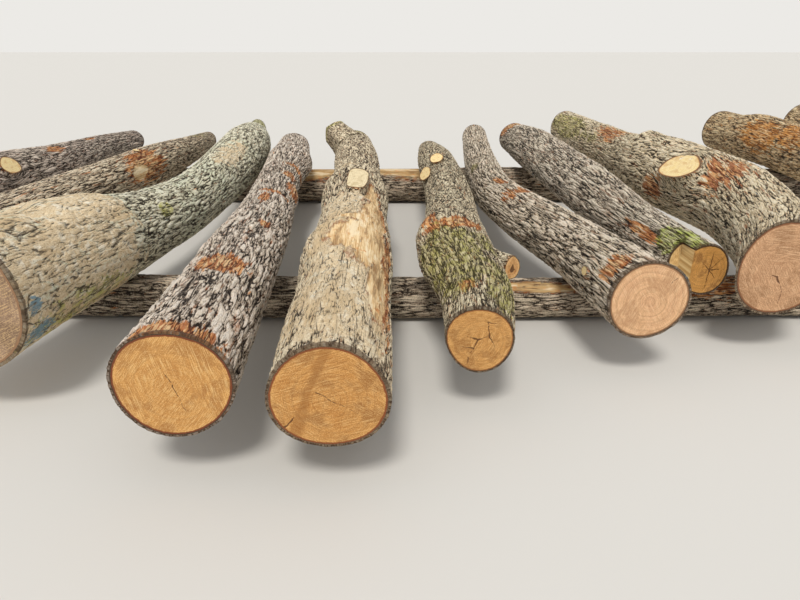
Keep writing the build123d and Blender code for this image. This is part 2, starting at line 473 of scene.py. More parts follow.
class Finishes:
    """Makes the bark and wood materials, each one once."""

    def __init__(self) -> None:
        """Start with no materials."""
        self.made: dict[str, bpy.types.Material] = {}

    def _start(self, name: str, roughness: float) -> tuple[bpy.types.Material, Sketch, bpy.types.Node]:
        """Begin a material.

        Args:
            name: the material's name.
            roughness: the surface's roughness.

        Returns:
            The material, a sketch of its tree and its surface shader.
        """
        material = bpy.data.materials.new(name)
        material.use_nodes = True
        shader = material.node_tree.nodes["Principled BSDF"]
        shader.inputs["Roughness"].default_value = roughness
        shader.inputs["Specular IOR Level"].default_value = 0.25
        return material, Sketch(material.node_tree), shader

    def _attribute(self, sketch: Sketch, name: str, output: str = "Fac") -> bpy.types.NodeSocket:
        """Read an attribute in a material."""
        return sketch.node("ShaderNodeAttribute", attribute_name=name).outputs[output]

    def bark(self, look: BarkFinish) -> bpy.types.Material:
        """Furrowed bark with its wear, moss and mud, and painted shade and highlights by height.

        Args:
            look: the colours and sizes.

        Returns:
            The material.
        """
        if look.name in self.made:
            return self.made[look.name]
        material, sketch, shader = self._start(look.name, 0.88)
        place = self._attribute(sketch, "bark_co", "Vector")
        solid = sketch.node("ShaderNodeTexCoord").outputs["Object"]
        height = sketch.bark_height(place, 1.0 / look.cell)
        broad = sketch.noise(solid, 3.0, 3.0, 0.55)
        spots = sketch.noise(solid, 22.0, 4.0, 0.65)
        fine = sketch.noise(solid, 120.0, 4.0, 0.75)
        crest = sketch.mix(sketch.step(spots, 0.40, 0.62), colour(look.crest), colour(look.crest_alt))
        green = sketch.maths("MULTIPLY", sketch.step(broad, 0.46, 0.60), sketch.step(spots, 0.35, 0.6))
        green = sketch.maths("MULTIPLY", green, look.lichen)
        crest = sketch.mix(green, crest, colour(look.lichen_tint))
        # The tone climbs with the height: dark furrows, partly painted shade, then the middle, then the crests, partly
        # painted light, then a painted highlight in the glint colour on the highest crests.
        tone = sketch.mix(sketch.step(height, 0.42, 0.56), colour(look.furrow), colour(look.middle))
        tone = sketch.mix(sketch.step(height, 0.53, 0.74), tone, crest)
        tone = sketch.mix(sketch.step(height, 0.76, 1.0), tone, colour(look.glint))
        # Painted highlights in the glint colour as fine specks on the raised bark, then fine dark specks in the furrow
        # colour.
        lit = sketch.maths("MULTIPLY", sketch.step(fine, 0.50, 0.62), 0.75)
        tone = sketch.mix(sketch.maths("MULTIPLY", lit, sketch.step(height, 0.3, 0.6)), tone, colour(look.glint))
        tone = sketch.mix(sketch.maths("MULTIPLY", sketch.step(fine, 0.48, 0.34), 0.6), tone, colour(look.furrow))
        flecks = sketch.step(sketch.noise(place, 34.0, 4.0, 0.75), 0.58, 0.66)
        flecks = sketch.maths("MULTIPLY", flecks, sketch.step(height, 0.3, 0.5))
        flecks = sketch.maths("MULTIPLY", flecks, look.flecks)
        tone = sketch.mix(flecks, tone, colour(look.torn))
        tone = self._worn(sketch, look, place, tone, (height, spots, fine))
        mud = sketch.ragged(self._attribute(sketch, "mud"), solid, 14.0, 1.5)
        filled = sketch.maths("MULTIPLY_ADD", sketch.step(height, 0.24, 0.50), 0.85, 0.15)
        fissures = sketch.furrow_lines(sketch.wander(place, 40.0, 0.03), 13.0, 0.035)
        filled = sketch.maths("MULTIPLY", filled, sketch.maths("MULTIPLY_ADD", fissures, 0.75, 0.25))
        mud_tone = sketch.mix(sketch.step(fine, 0.40, 0.60), colour(look.mud_dark), colour(look.mud))
        mud_tone = sketch.mix(sketch.step(spots, 0.50, 0.66), mud_tone, colour(look.mud_pale))
        damp = sketch.step(sketch.noise(place, 9.0, 4.0, 0.6), 0.52, 0.62)
        mud_tone = sketch.mix(sketch.maths("MULTIPLY", damp, 0.75), mud_tone, colour(look.mud_dark))
        tone = sketch.mix(sketch.maths("MULTIPLY", mud, filled), tone, mud_tone)
        bare = sketch.ragged(self._attribute(sketch, "bare"), place, 20.0, 1.3)
        tone, fibres = self._stripped(sketch, look, place, tone, (bare, spots))
        moss = sketch.ragged(self._attribute(sketch, "moss"), solid, 16.0, 1.3)
        # Moss is darker down in the furrows and keeps its own colour on the crests; the dark in the furrows is partly
        # painted shade.
        moss_tone = sketch.mix(sketch.step(height, 0.42, 0.80), colour(look.moss_dark), colour(look.moss))
        moss_kept = sketch.maths("MULTIPLY_ADD", sketch.step(spots, 0.42, 0.60), 0.45, 0.38)
        tone = sketch.mix(sketch.maths("MULTIPLY", moss, moss_kept), tone, moss_tone)
        paint = sketch.ragged(self._attribute(sketch, "paint"), place, 60.0, 2.6)
        paint = sketch.maths("MULTIPLY", paint, sketch.step(height, 0.25, 0.6))
        tone = sketch.mix(sketch.maths("MULTIPLY", paint, 0.75), tone, colour("5a93af"))
        cut_edge = sketch.ragged(self._attribute(sketch, "cut_edge"), place, 60.0, 1.1)
        tone = sketch.mix(sketch.maths("MULTIPLY", cut_edge, 0.75), tone, colour(look.edge))
        sketch.feed(shader.inputs["Base Color"], tone)
        relief = sketch.maths("MULTIPLY_ADD", fine, 0.35, height)
        relief = sketch.maths("MULTIPLY", relief, sketch.maths("MULTIPLY_ADD", bare, -0.8, 1.0))
        relief = sketch.maths("MULTIPLY_ADD", sketch.maths("MULTIPLY", fibres, bare), 0.15, relief)
        bump = sketch.node("ShaderNodeBump")
        bump.inputs["Strength"].default_value = 1.0
        bump.inputs["Distance"].default_value = 0.013
        sketch.feed(bump.inputs["Height"], relief)
        sketch.feed(shader.inputs["Normal"], bump.outputs[0])
        self.made[look.name] = material
        return material

    def _worn(
        self,
        sketch: Sketch,
        look: BarkFinish,
        place: bpy.types.NodeSocket,
        tone: bpy.types.NodeSocket,
        fields: tuple[bpy.types.NodeSocket, bpy.types.NodeSocket, bpy.types.NodeSocket],
    ) -> bpy.types.NodeSocket:
        """Rub off the outer bark where it is torn, down to the red inner bark.

        Args:
            sketch: where to draw.
            look: the colours.
            place: the bark's coordinates.
            tone: the colour so far.
            fields: the bark's height, its spots and its fine grit.

        Returns:
            The new colour.
        """
        height, spots, fine = fields
        given = self._attribute(sketch, "torn")
        torn = sketch.ragged(given, place, 46.0, 3.2)
        tint = sketch.noise(place, 60.0, 3.0, 0.6)
        inner = sketch.mix(sketch.step(tint, 0.44, 0.56), colour(look.torn), colour(look.torn_pale))
        core = sketch.step(sketch.maths("MULTIPLY_ADD", tint, 1.6, given), 1.62, 1.80)
        inner = sketch.mix(sketch.maths("MULTIPLY", core, 0.9), inner, colour(look.splinter))
        inner = sketch.mix(sketch.step(height, 0.62, 0.36), inner, colour(look.torn_dark))
        return sketch.mix(sketch.maths("MULTIPLY", torn, 0.92), tone, inner)

    def _stripped(
        self,
        sketch: Sketch,
        look: BarkFinish,
        place: bpy.types.NodeSocket,
        tone: bpy.types.NodeSocket,
        fields: tuple[bpy.types.NodeSocket, bpy.types.NodeSocket],
    ) -> tuple[bpy.types.NodeSocket, bpy.types.NodeSocket]:
        """Show pale fibrous wood where the bark is gone, with a torn red-brown edge.

        Args:
            sketch: where to draw.
            look: the colours.
            place: the bark's coordinates.
            tone: the colour so far.
            fields: the mask of bare wood and the bark's spots.

        Returns:
            The new colour, and the wood's fibres.
        """
        bare, spots = fields
        wider = sketch.maths("ADD", self._attribute(sketch, "bare"), 0.13)
        rim = sketch.ragged(wider, place, 20.0, 1.3)
        rim = sketch.maths("MULTIPLY", rim, sketch.maths("MULTIPLY", sketch.step(spots, 0.40, 0.60), 0.75))
        tone = sketch.mix(rim, tone, colour("ab683b"))
        fibres = sketch.noise(sketch.vector("MULTIPLY", place, (1.0, 1.0, 0.16)), 210.0, 3.0, 0.65)
        wood = sketch.mix(sketch.step(fibres, 0.32, 0.66), colour("c39761"), colour(look.wood))
        wood = sketch.mix(sketch.step(spots, 0.56, 0.68), wood, colour("cf9158"))
        stains = sketch.noise(place, 16.0, 4.0, 0.7)
        wood = sketch.mix(sketch.maths("MULTIPLY", sketch.step(stains, 0.50, 0.62), 0.7), wood, colour("896541"))
        wood = sketch.mix(sketch.maths("MULTIPLY", sketch.step(stains, 0.48, 0.38), 0.7), wood, colour("f6e5c2"))
        return sketch.mix(bare, tone, wood), fibres

    def _cracks(
        self, sketch: Sketch, plane: bpy.types.NodeSocket, cracks: tuple[Crack, ...], soft: float = 0.006
    ) -> bpy.types.NodeSocket:
        """Mark the drying cracks or the stains of a face.

        Args:
            sketch: where to draw.
            plane: the place on the face, in shares of its radius.
            cracks: the cracks.
            soft: how far their edges fade out.

        Returns:
            1 in a crack and 0 outside.
        """
        wavering = sketch.wander(plane, 7.0, 0.09)
        nearest: object = 1.0
        for crack in cracks:
            run = (crack.end[0] - crack.start[0], 0.0, crack.end[1] - crack.start[1])
            reach = run[0] ** 2 + run[2] ** 2
            away = sketch.vector("SUBTRACT", wavering, (crack.start[0], 0.0, crack.start[1]))
            part = sketch.maths("DIVIDE", sketch.vector("DOT_PRODUCT", away, run), reach)
            part = sketch.maths("MINIMUM", sketch.maths("MAXIMUM", part, 0.0), 1.0)
            nearest_point = sketch.vector("SCALE", run, scale=part)
            gap = sketch.vector("LENGTH", sketch.vector("SUBTRACT", away, nearest_point))
            half = sketch.maths("MULTIPLY_ADD", part, -crack.width, crack.width * 1.1)
            nearest = sketch.maths("MINIMUM", nearest, sketch.maths("SUBTRACT", gap, half))
        return sketch.step(nearest, soft, 0.0)

    def wood(self, look: FaceFinish) -> bpy.types.Material:
        """A sawn end with rings, a dark inner bark line and cracks.

        Args:
            look: the colours and sizes.

        Returns:
            The material.
        """
        if look.name in self.made:
            return self.made[look.name]
        material, sketch, shader = self._start(look.name, 0.62)
        place = self._attribute(sketch, "face_co", "Vector")
        parts = sketch.node("ShaderNodeSeparateXYZ")
        sketch.feed(parts.inputs[0], place)
        edge = parts.outputs[1]
        flat = sketch.node("ShaderNodeCombineXYZ")
        sketch.feed(flat.inputs[0], parts.outputs[0])
        sketch.feed(flat.inputs[2], parts.outputs[2])
        flat.inputs[1].default_value = look.seed
        plane = flat.outputs[0]
        level = sketch.vector("MULTIPLY", plane, (1.0, 0.0, 1.0))
        broad = sketch.noise(plane, 2.2, 3.0, 0.6)
        speckle = sketch.noise(plane, 42.0, 5.0, 0.8)
        around = sketch.vector("MULTIPLY", sketch.wander(plane, 1.6, 0.16), (1.0, 0.0, 1.0))
        away = sketch.vector("SUBTRACT", around, (look.pith[0], 0.0, look.pith[1]))
        from_pith = sketch.vector("LENGTH", away)
        turns = sketch.maths("MULTIPLY", from_pith, 0.22 / look.ring_gap)
        rings = sketch.noise(sketch.vector("SCALE", (1.0, 0.0, 0.0), scale=turns), 2.0, 3.0, 0.75)
        rays = sketch.noise(sketch.vector("NORMALIZE", away), 22.0, 3.0, 0.7)
        marks = sketch.noise(self._saw_lines(sketch, plane, look.streak), 5.0, 4.0, 0.65)
        crossing = sketch.noise(self._saw_lines(sketch, plane, look.streak + 0.9), 3.2, 5.0, 0.7)
        region = sketch.step(sketch.noise(plane, 1.3, 1.0, 0.5), 0.44, 0.56)
        marks = sketch.maths("MULTIPLY_ADD", sketch.maths("SUBTRACT", crossing, marks), region, marks)
        tone = sketch.mix(sketch.step(broad, 0.35, 0.65), colour(look.heart), colour(look.sapwood))
        outer = sketch.step(sketch.maths("MULTIPLY_ADD", broad, 0.2, edge), look.rim_from, look.rim_from + 0.18)
        tone = sketch.mix(sketch.maths("MULTIPLY", outer, 0.7), tone, colour(look.sapwood))
        darker = (
            (sketch.step(rings, 0.46, 0.56), look.ring_strength),
            (sketch.step(rays, 0.52, 0.68), 0.16),
            (sketch.step(marks, 0.48, 0.62), 0.55),
            (sketch.step(speckle, 0.46, 0.62), 0.50),
            (sketch.step(broad, 0.48, 0.62), 0.75),
        )
        for pattern, strength in darker:
            tone = sketch.mix(sketch.maths("MULTIPLY", pattern, strength), tone, colour(look.dark))
        for pattern in (marks, speckle):
            bright = sketch.maths("MULTIPLY", sketch.step(pattern, 0.49, 0.38), 0.45)
            tone = sketch.mix(bright, tone, colour(look.bright))
        if look.stains:
            stained = self._cracks(sketch, level, look.stains, 0.09)
            tone = sketch.mix(sketch.maths("MULTIPLY", stained, 0.55), tone, colour(look.dark))
        cracked: object = 0.0
        if look.cracks:
            cracked = self._cracks(sketch, level, look.cracks)
            tone = sketch.mix(sketch.maths("MULTIPLY", cracked, 0.85), tone, colour("52311b"))
        if look.hinge > -1:
            tone = self._hinge(sketch, look, parts.outputs[0], plane, tone)
        wobble = sketch.maths("MULTIPLY_ADD", sketch.noise(plane, 9.0, 4.0, 0.65), 0.045, edge)
        inner = 1.0 - look.bark_share
        dark_line = sketch.step(wobble, inner - 0.006, inner + 0.010)
        tone = sketch.mix(dark_line, tone, colour(look.rim))
        bark_tone = sketch.mix(sketch.step(speckle, 0.35, 0.65), colour(look.bark), colour("33251b"))
        tone = sketch.mix(sketch.step(wobble, inner + 0.026, inner + 0.038), tone, bark_tone)
        sketch.feed(shader.inputs["Base Color"], tone)
        height = sketch.maths("MULTIPLY_ADD", marks, 0.6, sketch.maths("MULTIPLY", speckle, 0.3))
        height = sketch.maths("MULTIPLY_ADD", cracked, -1.5, height)
        bump = sketch.node("ShaderNodeBump")
        bump.inputs["Strength"].default_value = 0.35
        bump.inputs["Distance"].default_value = 0.003
        sketch.feed(bump.inputs["Height"], height)
        sketch.feed(shader.inputs["Normal"], bump.outputs[0])
        self.made[look.name] = material
        return material

    def _hinge(
        self,
        sketch: Sketch,
        look: FaceFinish,
        across: bpy.types.NodeSocket,
        plane: bpy.types.NodeSocket,
        tone: bpy.types.NodeSocket,
    ) -> bpy.types.NodeSocket:
        """Colour the set-back side of a stepped butt with pale torn fibres.

        Args:
            sketch: where to draw.
            look: the face's colours, with the place of the edge.
            across: the place across the face.
            plane: the place on the face.
            tone: the colour so far.

        Returns:
            The new colour.
        """
        fibres = sketch.noise(sketch.vector("MULTIPLY", plane, (9.0, 1.0, 1.2)), 6.0, 4.0, 0.7)
        pale = sketch.mix(sketch.step(fibres, 0.40, 0.62), colour("c69a5e"), colour("f6d699"))
        return sketch.mix(sketch.step(across, look.hinge + 0.012, look.hinge - 0.004), tone, pale)

    def _saw_lines(self, sketch: Sketch, plane: bpy.types.NodeSocket, angle: float) -> bpy.types.NodeSocket:
        """Long thin coordinates for saw marks, turned by an angle in radians."""
        turned = sketch.node("ShaderNodeVectorRotate", rotation_type="Y_AXIS")
        sketch.feed(turned.inputs["Vector"], sketch.wander(plane, 2.0, 0.06))
        turned.inputs["Angle"].default_value = angle
        return sketch.vector("MULTIPLY", turned.outputs[0], (0.9, 1.0, 17.0))


@dataclass
class Sections:
    """A log's smooth skin, as its heart line and the harmonics of its outline."""

    places: np.ndarray
    hearts: np.ndarray
    shapes: np.ndarray

    def at(self, places: np.ndarray, angles: np.ndarray) -> tuple[np.ndarray, np.ndarray]:
        """Work out the skin at some places.

        Args:
            places: distances from the near end.
            angles: angles round the heart, in radians.

        Returns:
            The heart's side and height at each place, and the radius for each place
            and angle.
        """
        hearts = np.stack([np.interp(places, self.places, self.hearts[:, k]) for k in range(2)], 1)
        shapes = np.stack([np.interp(places, self.places, s) for s in self.shapes.T], 1)
        return hearts, shapes @ wave_table(angles).T


def wave_table(angles: np.ndarray) -> np.ndarray:
    """Columns of 1, cosines and sines for fitting an outline."""
    columns = [np.ones_like(angles)]
    for order in range(1, HARMONICS + 1):
        columns += [np.cos(order * angles), np.sin(order * angles)]
    return np.stack(columns, 1)


def smooth_along(values: np.ndarray, width: float) -> np.ndarray:
    """Smooth rows along the log and keep the ends in place.

    Args:
        values: one row for each station.
        width: the smoothing width in stations.

    Returns:
        The smoothed rows.
    """
    reach = int(math.ceil(3 * width))
    steps = np.arange(-reach, reach + 1)
    kernel = np.exp(-0.5 * (steps / width) ** 2)
    kernel /= kernel.sum()
    front = 2 * values[0] - values[reach:0:-1]
    back = 2 * values[-1] - values[-2 : -reach - 2 : -1]
    padded = np.concatenate([front, values, back])
    return np.stack([np.convolve(column, kernel, "valid") for column in padded.T], 1)


@dataclass
class SkinReader:
    """Reads the outline of a CAD log by rays from its heart line."""

    look: LogLook
    tree: BVHTree = field(init=False)
    start: float = field(init=False)
    middle: np.ndarray = field(init=False)

    def __post_init__(self) -> None:
        """Load the node's triangles and find the middle of its near end."""
        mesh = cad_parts[self.look.node].data
        corners = np.zeros(len(mesh.vertices) * 3, np.float32)
        mesh.vertices.foreach_get("co", corners)
        corners = corners.reshape(-1, 3).astype(float)
        faces = [tuple(face.vertices) for face in mesh.polygons]
        self.tree = BVHTree.FromPolygons([Vector(c) for c in corners], faces)
        axis = 1 if self.look.lie is Lie.STEM else 0
        self.start = corners[:, axis].min()
        near = corners[corners[:, axis] < self.start + 0.001]
        side = near[:, 1 - axis]
        self.middle = np.array([(side.min() + side.max()) / 2, (near[:, 2].min() + near[:, 2].max()) / 2])

    def point(self, along: float, side: float, up: float) -> Vector:
        """Turn a place on the log into a point of the model."""
        if self.look.lie is Lie.STEM:
            return Vector((side, self.start + along, up))
        return Vector((self.start + along, side, up))

    def _weights(self, along: float, angles: np.ndarray) -> np.ndarray:
        """Leave out rays that would meet a branch that stands far off the bark."""
        weights = np.ones(len(angles))
        for branch in self.look.branches:
            if branch.reach < 0.03 or abs(along - branch.along) > 0.30:
                continue
            away = np.abs((np.degrees(angles) - branch.turn + 180) % 360 - 180)
            weights[away < 48] = 0.0
        return weights

    def read(self) -> Sections:
        """Read the whole skin.

        Returns:
            The smooth sections.
        """
        look = self.look
        last = look.length - END_INSET if look.read_to is None else look.read_to
        count = max(8, int((last - look.read_from) / STATION_STEP))
        places = np.linspace(look.read_from, last, count)
        angles = np.arange(RAYS) * 2 * math.pi / RAYS
        table = wave_table(angles)
        calm = np.diag(0.02 * np.repeat(np.arange(HARMONICS + 1), [1] + [2] * HARMONICS) ** 2)
        middle = self.middle
        hearts, shapes = [], []
        for along in places:
            weights = self._weights(along, angles)
            for _ in range(3):
                origin = self.point(along, *middle)
                radii = np.zeros(RAYS)
                for index, angle in enumerate(angles):
                    direction = self.point(0, math.cos(angle), math.sin(angle)) - self.point(0, 0, 0)
                    hit = self.tree.ray_cast(origin, direction)
                    radii[index] = hit[3] if hit[0] is not None else 0.0
                weighted = table * (weights * (radii > 0))[:, None]
                shape = np.linalg.solve(weighted.T @ table + calm, weighted.T @ radii)
                middle = middle + shape[1:3]
            hearts.append(middle)
            shapes.append(shape)
        width = SMOOTHING / (places[1] - places[0])
        hearts = smooth_along(np.array(hearts), width)
        shapes = smooth_along(np.array(shapes), width)
        return self._stretch(places, hearts, shapes)

    def _stretch(self, places: np.ndarray, hearts: np.ndarray, shapes: np.ndarray) -> Sections:
        """Carry the skin on in a straight line to both ends."""
        ends = (0.0, self.look.length)
        for end, place in zip((0, -1), ends):
            inner = 6 if end == 0 else -7
            share = (place - places[end]) / (places[inner] - places[end])
            row_h = hearts[end] + share * (hearts[inner] - hearts[end])
            row_s = shapes[end] + share * (shapes[inner] - shapes[end])
            at = 0 if end == 0 else len(places)
            places = np.insert(places, at, place)
            hearts = np.insert(hearts, at, row_h, 0)
            shapes = np.insert(shapes, at, row_s, 0)
        return Sections(places, hearts, shapes)


def graded_rows(length: float) -> np.ndarray:
    """Row places that are close at the near end and wider at the far end."""
    rows = [0.0]
    while rows[-1] < length:
        share = rows[-1] / length
        rows.append(rows[-1] + ROW_NEAR + (ROW_FAR - ROW_NEAR) * share)
    return np.array(rows) * length / rows[-1]


def shell_faces(rows: int, columns: int, rings: int, flip: bool) -> list[tuple[int, ...]]:
    """Faces of a tube with a ringed disc on each end.

    The vertices are the tube's rows, then the near disc's rings from the outside in
    and its middle, then the same for the far disc.

    Args:
        rows: rows of the tube.
        columns: vertices in a row.
        rings: rings of a disc, without its edge and its middle.
        flip: whether to turn the faces round.

    Returns:
        The faces.
    """
    faces = []
    around = [(j, (j + 1) % columns) for j in range(columns)]
    for i in range(rows - 1):
        a, b = i * columns, (i + 1) * columns
        faces += [(a + j, b + j, b + k, a + k) for j, k in around]
    tube = rows * columns
    disc = rings * columns + 1
    for end in range(2):
        edges = [0 if end == 0 else (rows - 1) * columns]
        edges += [tube + end * disc + r * columns for r in range(rings)]
        middle = tube + end * disc + rings * columns
        for a, b in zip(edges, edges[1:]):
            if end == 0:
                faces += [(a + j, a + k, b + k, b + j) for j, k in around]
            else:
                faces += [(a + j, b + j, b + k, a + k) for j, k in around]
        a = edges[-1]
        if end == 0:
            faces += [(a + j, a + k, middle) for j, k in around]
        else:
            faces += [(a + k, a + j, middle) for j, k in around]
    if flip:
        faces = [tuple(reversed(face)) for face in faces]
    return faces


def make_piece(
    name: str,
    points: np.ndarray,
    faces: list[tuple[int, ...]],
    attributes: dict[str, np.ndarray],
) -> bpy.types.Object:
    """Make a mesh object with point attributes.

    Args:
        name: the piece's name.
        points: the vertices.
        faces: the faces.
        attributes: numbers or vectors for each vertex, by name.

    Returns:
        The object, linked to the scene.
    """
    mesh = bpy.data.meshes.new(name)
    mesh.from_pydata(points.tolist(), [], faces)
    for label, values in attributes.items():
        kind = "FLOAT_VECTOR" if values.ndim == 2 else "FLOAT"
        made = mesh.attributes.new(label, kind, "POINT")
        made.data.foreach_set("vector" if values.ndim == 2 else "value", values.astype(np.float32).ravel())
    mesh.update()
    piece = bpy.data.objects.new(name, mesh)
    bpy.context.scene.collection.objects.link(piece)
    return piece


def crease(piece: bpy.types.Object, rows: int, columns: int) -> None:
    """Shade a piece smooth, with a sharp edge round each sawn end."""
    mesh = piece.data
    mesh.shade_smooth()
    edges = np.zeros(len(mesh.edges) * 2, np.int32)
    mesh.edges.foreach_get("vertices", edges)
    low, high = edges.reshape(-1, 2).min(1), edges.reshape(-1, 2).max(1)
    last = (rows - 1) * columns
    near = high < columns
    far = (low >= last) & (high < last + columns)
    sharp = mesh.attributes.get("sharp_edge") or mesh.attributes.new("sharp_edge", "BOOLEAN", "EDGE")
    sharp.data.foreach_set("value", near | far)


def hand_in(piece: bpy.types.Object, nodes: tuple[str, ...] = ()) -> bpy.types.Object:
    """Attach a finished piece to its body and hide the CAD nodes that it stands for."""
    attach(piece, "root")
    if nodes:
        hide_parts(*nodes)
    log.info("%s: %d triangles", piece.name, sum(len(f.vertices) - 2 for f in piece.data.polygons))
    return piece


@dataclass
class Timber:
    """One log: its bark, its two sawn ends and the branches sawn off it."""

    look: LogLook
    relief: ReliefTree
    finishes: Finishes
    reader: SkinReader = field(init=False)
    sections: Sections = field(init=False)

    def __post_init__(self) -> None:
        """Read the CAD skin."""
        self.reader = SkinReader(self.look)
        self.sections = self.reader.read()

    def _bark_place(self, places: np.ndarray, angles: np.ndarray, radius: float) -> np.ndarray:
        """Coordinates for the bark's pattern, bent round the branches.

        Args:
            places: distance from the near end, for each vertex.
            angles: angle round the heart, for each vertex.
            radius: the log's mean radius.

        Returns:
            One vector for each vertex.
        """
        around = angles.copy()
        for branch in self.look.branches:
            away = (angles - math.radians(branch.turn) + math.pi) % (2 * math.pi) - math.pi
            across = away * radius
            ahead = (places - branch.along) * 0.8
            squared = across**2 + ahead**2
            size = (branch.radius * 0.8) ** 2
            shift = -across * size / np.maximum(squared, size)
            fade = np.exp(-squared / (branch.radius * 3) ** 2)
            around += fade * shift / radius
        around += self.look.twist * places
        seed = self.look.bark.seed
        return np.stack(
            [radius * np.cos(around) + seed, radius * np.sin(around), places * self.look.bark.stretch],
            1,
        )

    def _patch_values(self, places: np.ndarray, angles: np.ndarray, radius: float) -> dict[str, np.ndarray]:
        """Strength of every cover on each vertex."""
        values = {cover.value: np.zeros(len(places)) for cover in Cover}
        for patch in self.look.patches:
            away = (angles - math.radians(patch.turn) + math.pi) % (2 * math.pi) - math.pi
            gap = np.hypot((places - patch.along) / patch.length, away * radius / patch.width)
            strength = patch.strength * np.clip(1.5 - gap, 0, 1)
            values[patch.cover.value] = np.maximum(values[patch.cover.value], strength)
        return values

    def _forms(self, rows: np.ndarray, angles: np.ndarray, radius: float) -> np.ndarray:
        """Height of the swellings and folds that stand off the smooth skin."""
        total = np.zeros((len(rows), len(angles)))
        for swell in self.look.swells:
            away = (angles - math.radians(swell.turn) + math.pi) % (2 * math.pi) - math.pi
            gap = ((rows - swell.along) / swell.length)[:, None] ** 2 + (away * radius / swell.width) ** 2
            total += swell.height * np.exp(-gap)
        for ledge in self.look.ledges:
            away = np.degrees((angles - math.radians(ledge.turn) + math.pi) % (2 * math.pi) - math.pi)
            waver = 0.02 * np.sin(np.radians(away) * 3 + ledge.along) + 0.012 * np.sin(np.radians(away) * 7)
            behind = rows[:, None] - (ledge.along + ledge.skew * away / 90 + waver)
            rise = np.exp(np.minimum(behind, 0) / ledge.run)
            drop = 1 / (1 + np.exp(np.clip(behind / 0.012, -40, 40)))
            total += ledge.height * rise * drop * np.exp(-((away / ledge.spread) ** 2))
        return total

    def _disc(
        self, hearts: np.ndarray, radii: np.ndarray, angles: np.ndarray, along: float
    ) -> tuple[np.ndarray, np.ndarray]:
        """Rings of a sawn face inside its edge, and its middle.

        Returns:
            The points as along, side and up, and each point's share of the radius.
        """
        shares = 1 - np.linspace(0, 1, FACE_RINGS + 2)[1:-1] ** 1.15
        side = hearts[0] + shares[:, None] * radii * np.cos(angles)
        up = hearts[1] + shares[:, None] * radii * np.sin(angles)
        rings = np.stack([np.full_like(side, along), side, up], -1).reshape(-1, 3)
        middle = np.array([[along, hearts[0], hearts[1]]])
        return np.concatenate([rings, middle]), np.append(np.repeat(shares, len(angles)), 0.0)

    def _cut_step(self, local: np.ndarray, count: int, columns: int, heart: float, radius: float) -> None:
        """Set the -X side of the near face back behind a clean edge."""
        look = self.look
        edge = heart - radius * look.step_edge
        tube = count * columns
        rings = [local[:columns]] + [local[tube + r * columns : tube + (r + 1) * columns] for r in range(FACE_RINGS)]
        side = np.stack([ring[:, 1] for ring in rings])
        behind = side < edge
        for column in range(columns):
            outside = np.nonzero(behind[:, column])[0]
            if len(outside) and outside[-1] + 1 < len(rings):
                ring = rings[outside[-1] + 1]
                inner = rings[min(outside[-1] + 2, len(rings) - 1)][column]
                outer = rings[outside[-1]][column]
                share = (edge - outer[1]) / (inner[1] - outer[1])
                ring[column, 1:] = outer[1:] + share * (inner[1:] - outer[1:])
                outer[1:] = outer[1:] + 0.97 * (ring[column, 1:] - outer[1:]) if outside[-1] else outer[1:]
        for ring, hidden in zip(rings, behind):
            ring[hidden, 0] = look.step_depth
        rows = local[columns:tube].reshape(count - 1, columns, 3)
        squeezed = rows[:, behind[0], 0]
        start = look.step_depth
        rows[:, behind[0], 0] = np.maximum(squeezed, start + 0.15 * squeezed)

    def build(self) -> bpy.types.Object:
        """Make the log.

        Returns:
            The finished piece.
        """
        look = self.look
        columns = look.columns
        angles = np.arange(columns) * 2 * math.pi / columns
        rows = graded_rows(look.length)
        hearts, radii = self.sections.at(rows, angles)
        mean = float(radii.mean())
        radii = radii + self._forms(rows, angles, mean)
        side = hearts[:, :1] + radii * np.cos(angles)
        up = hearts[:, 1:] + radii * np.sin(angles)
        along = np.repeat(rows[:, None], columns, 1)
        tube = np.stack([along, side, up], -1).reshape(-1, 3)
        near, near_share = self._disc(hearts[0], radii[0], angles, 0.0)
        far, far_share = self._disc(hearts[-1], radii[-1], angles, look.length)
        local = np.concatenate([tube, near, far])
        count, disc = len(rows), len(near)
        turn = np.concatenate([np.tile(angles, count), self._disc_turns(angles), self._disc_turns(angles)])
        place = local[:, 0].copy()
        if look.step_depth:
            self._cut_step(local, count, columns, hearts[0, 0], float(radii[0].mean()))
        attributes = self._patch_values(place, turn, mean)
        attributes["bark_co"] = self._bark_place(place, turn, mean)
        from_end = np.minimum(tube[:, 0], look.length - tube[:, 0])
        attributes["relief"] = np.concatenate([np.clip(0.3 + from_end / 0.06, 0, 1), np.zeros(2 * disc)])
        attributes["cut_edge"] = np.concatenate([np.clip(1.2 - from_end / 0.03, 0, 1), np.ones(2 * disc)])
        attributes["part"] = np.concatenate([np.zeros(len(tube)), np.ones(disc), np.full(disc, 2.0)])
        outward = np.stack([np.zeros(len(turn)), np.cos(turn), np.sin(turn)], 1)
        attributes["outward"] = self._model(outward) - self._model(np.zeros((1, 3)))
        attributes["face_co"] = self._face_places(local, hearts, radii, count, columns, near_share, far_share)
        points = self._model(local)
        points[:, 2] = np.maximum(points[:, 2], 0.0005)
        flip = look.lie is Lie.BEARER
        faces = shell_faces(count, columns, FACE_RINGS, flip)
        piece = make_piece(f"{look.node}_timber", points, faces, attributes)
        wood = (self.finishes.wood(look.face), self.finishes.wood(look.far_face))
        self.relief.apply(piece, look.bark, (self.finishes.bark(look.bark), *wood))
        crease(piece, count, columns)
        return hand_in(piece, (look.node,))

    def _disc_turns(self, angles: np.ndarray) -> np.ndarray:
        """Angle of each vertex of a face."""
        return np.append(np.tile(angles, FACE_RINGS), 0.0)

    def _model(self, local: np.ndarray) -> np.ndarray:
        """Turn along, side and up into the model's coordinates."""
        along, side, up = local.T
        along = along + self.reader.start
        if self.look.lie is Lie.STEM:
            return np.stack([side, along, up], 1)
        return np.stack([along, side, up], 1)

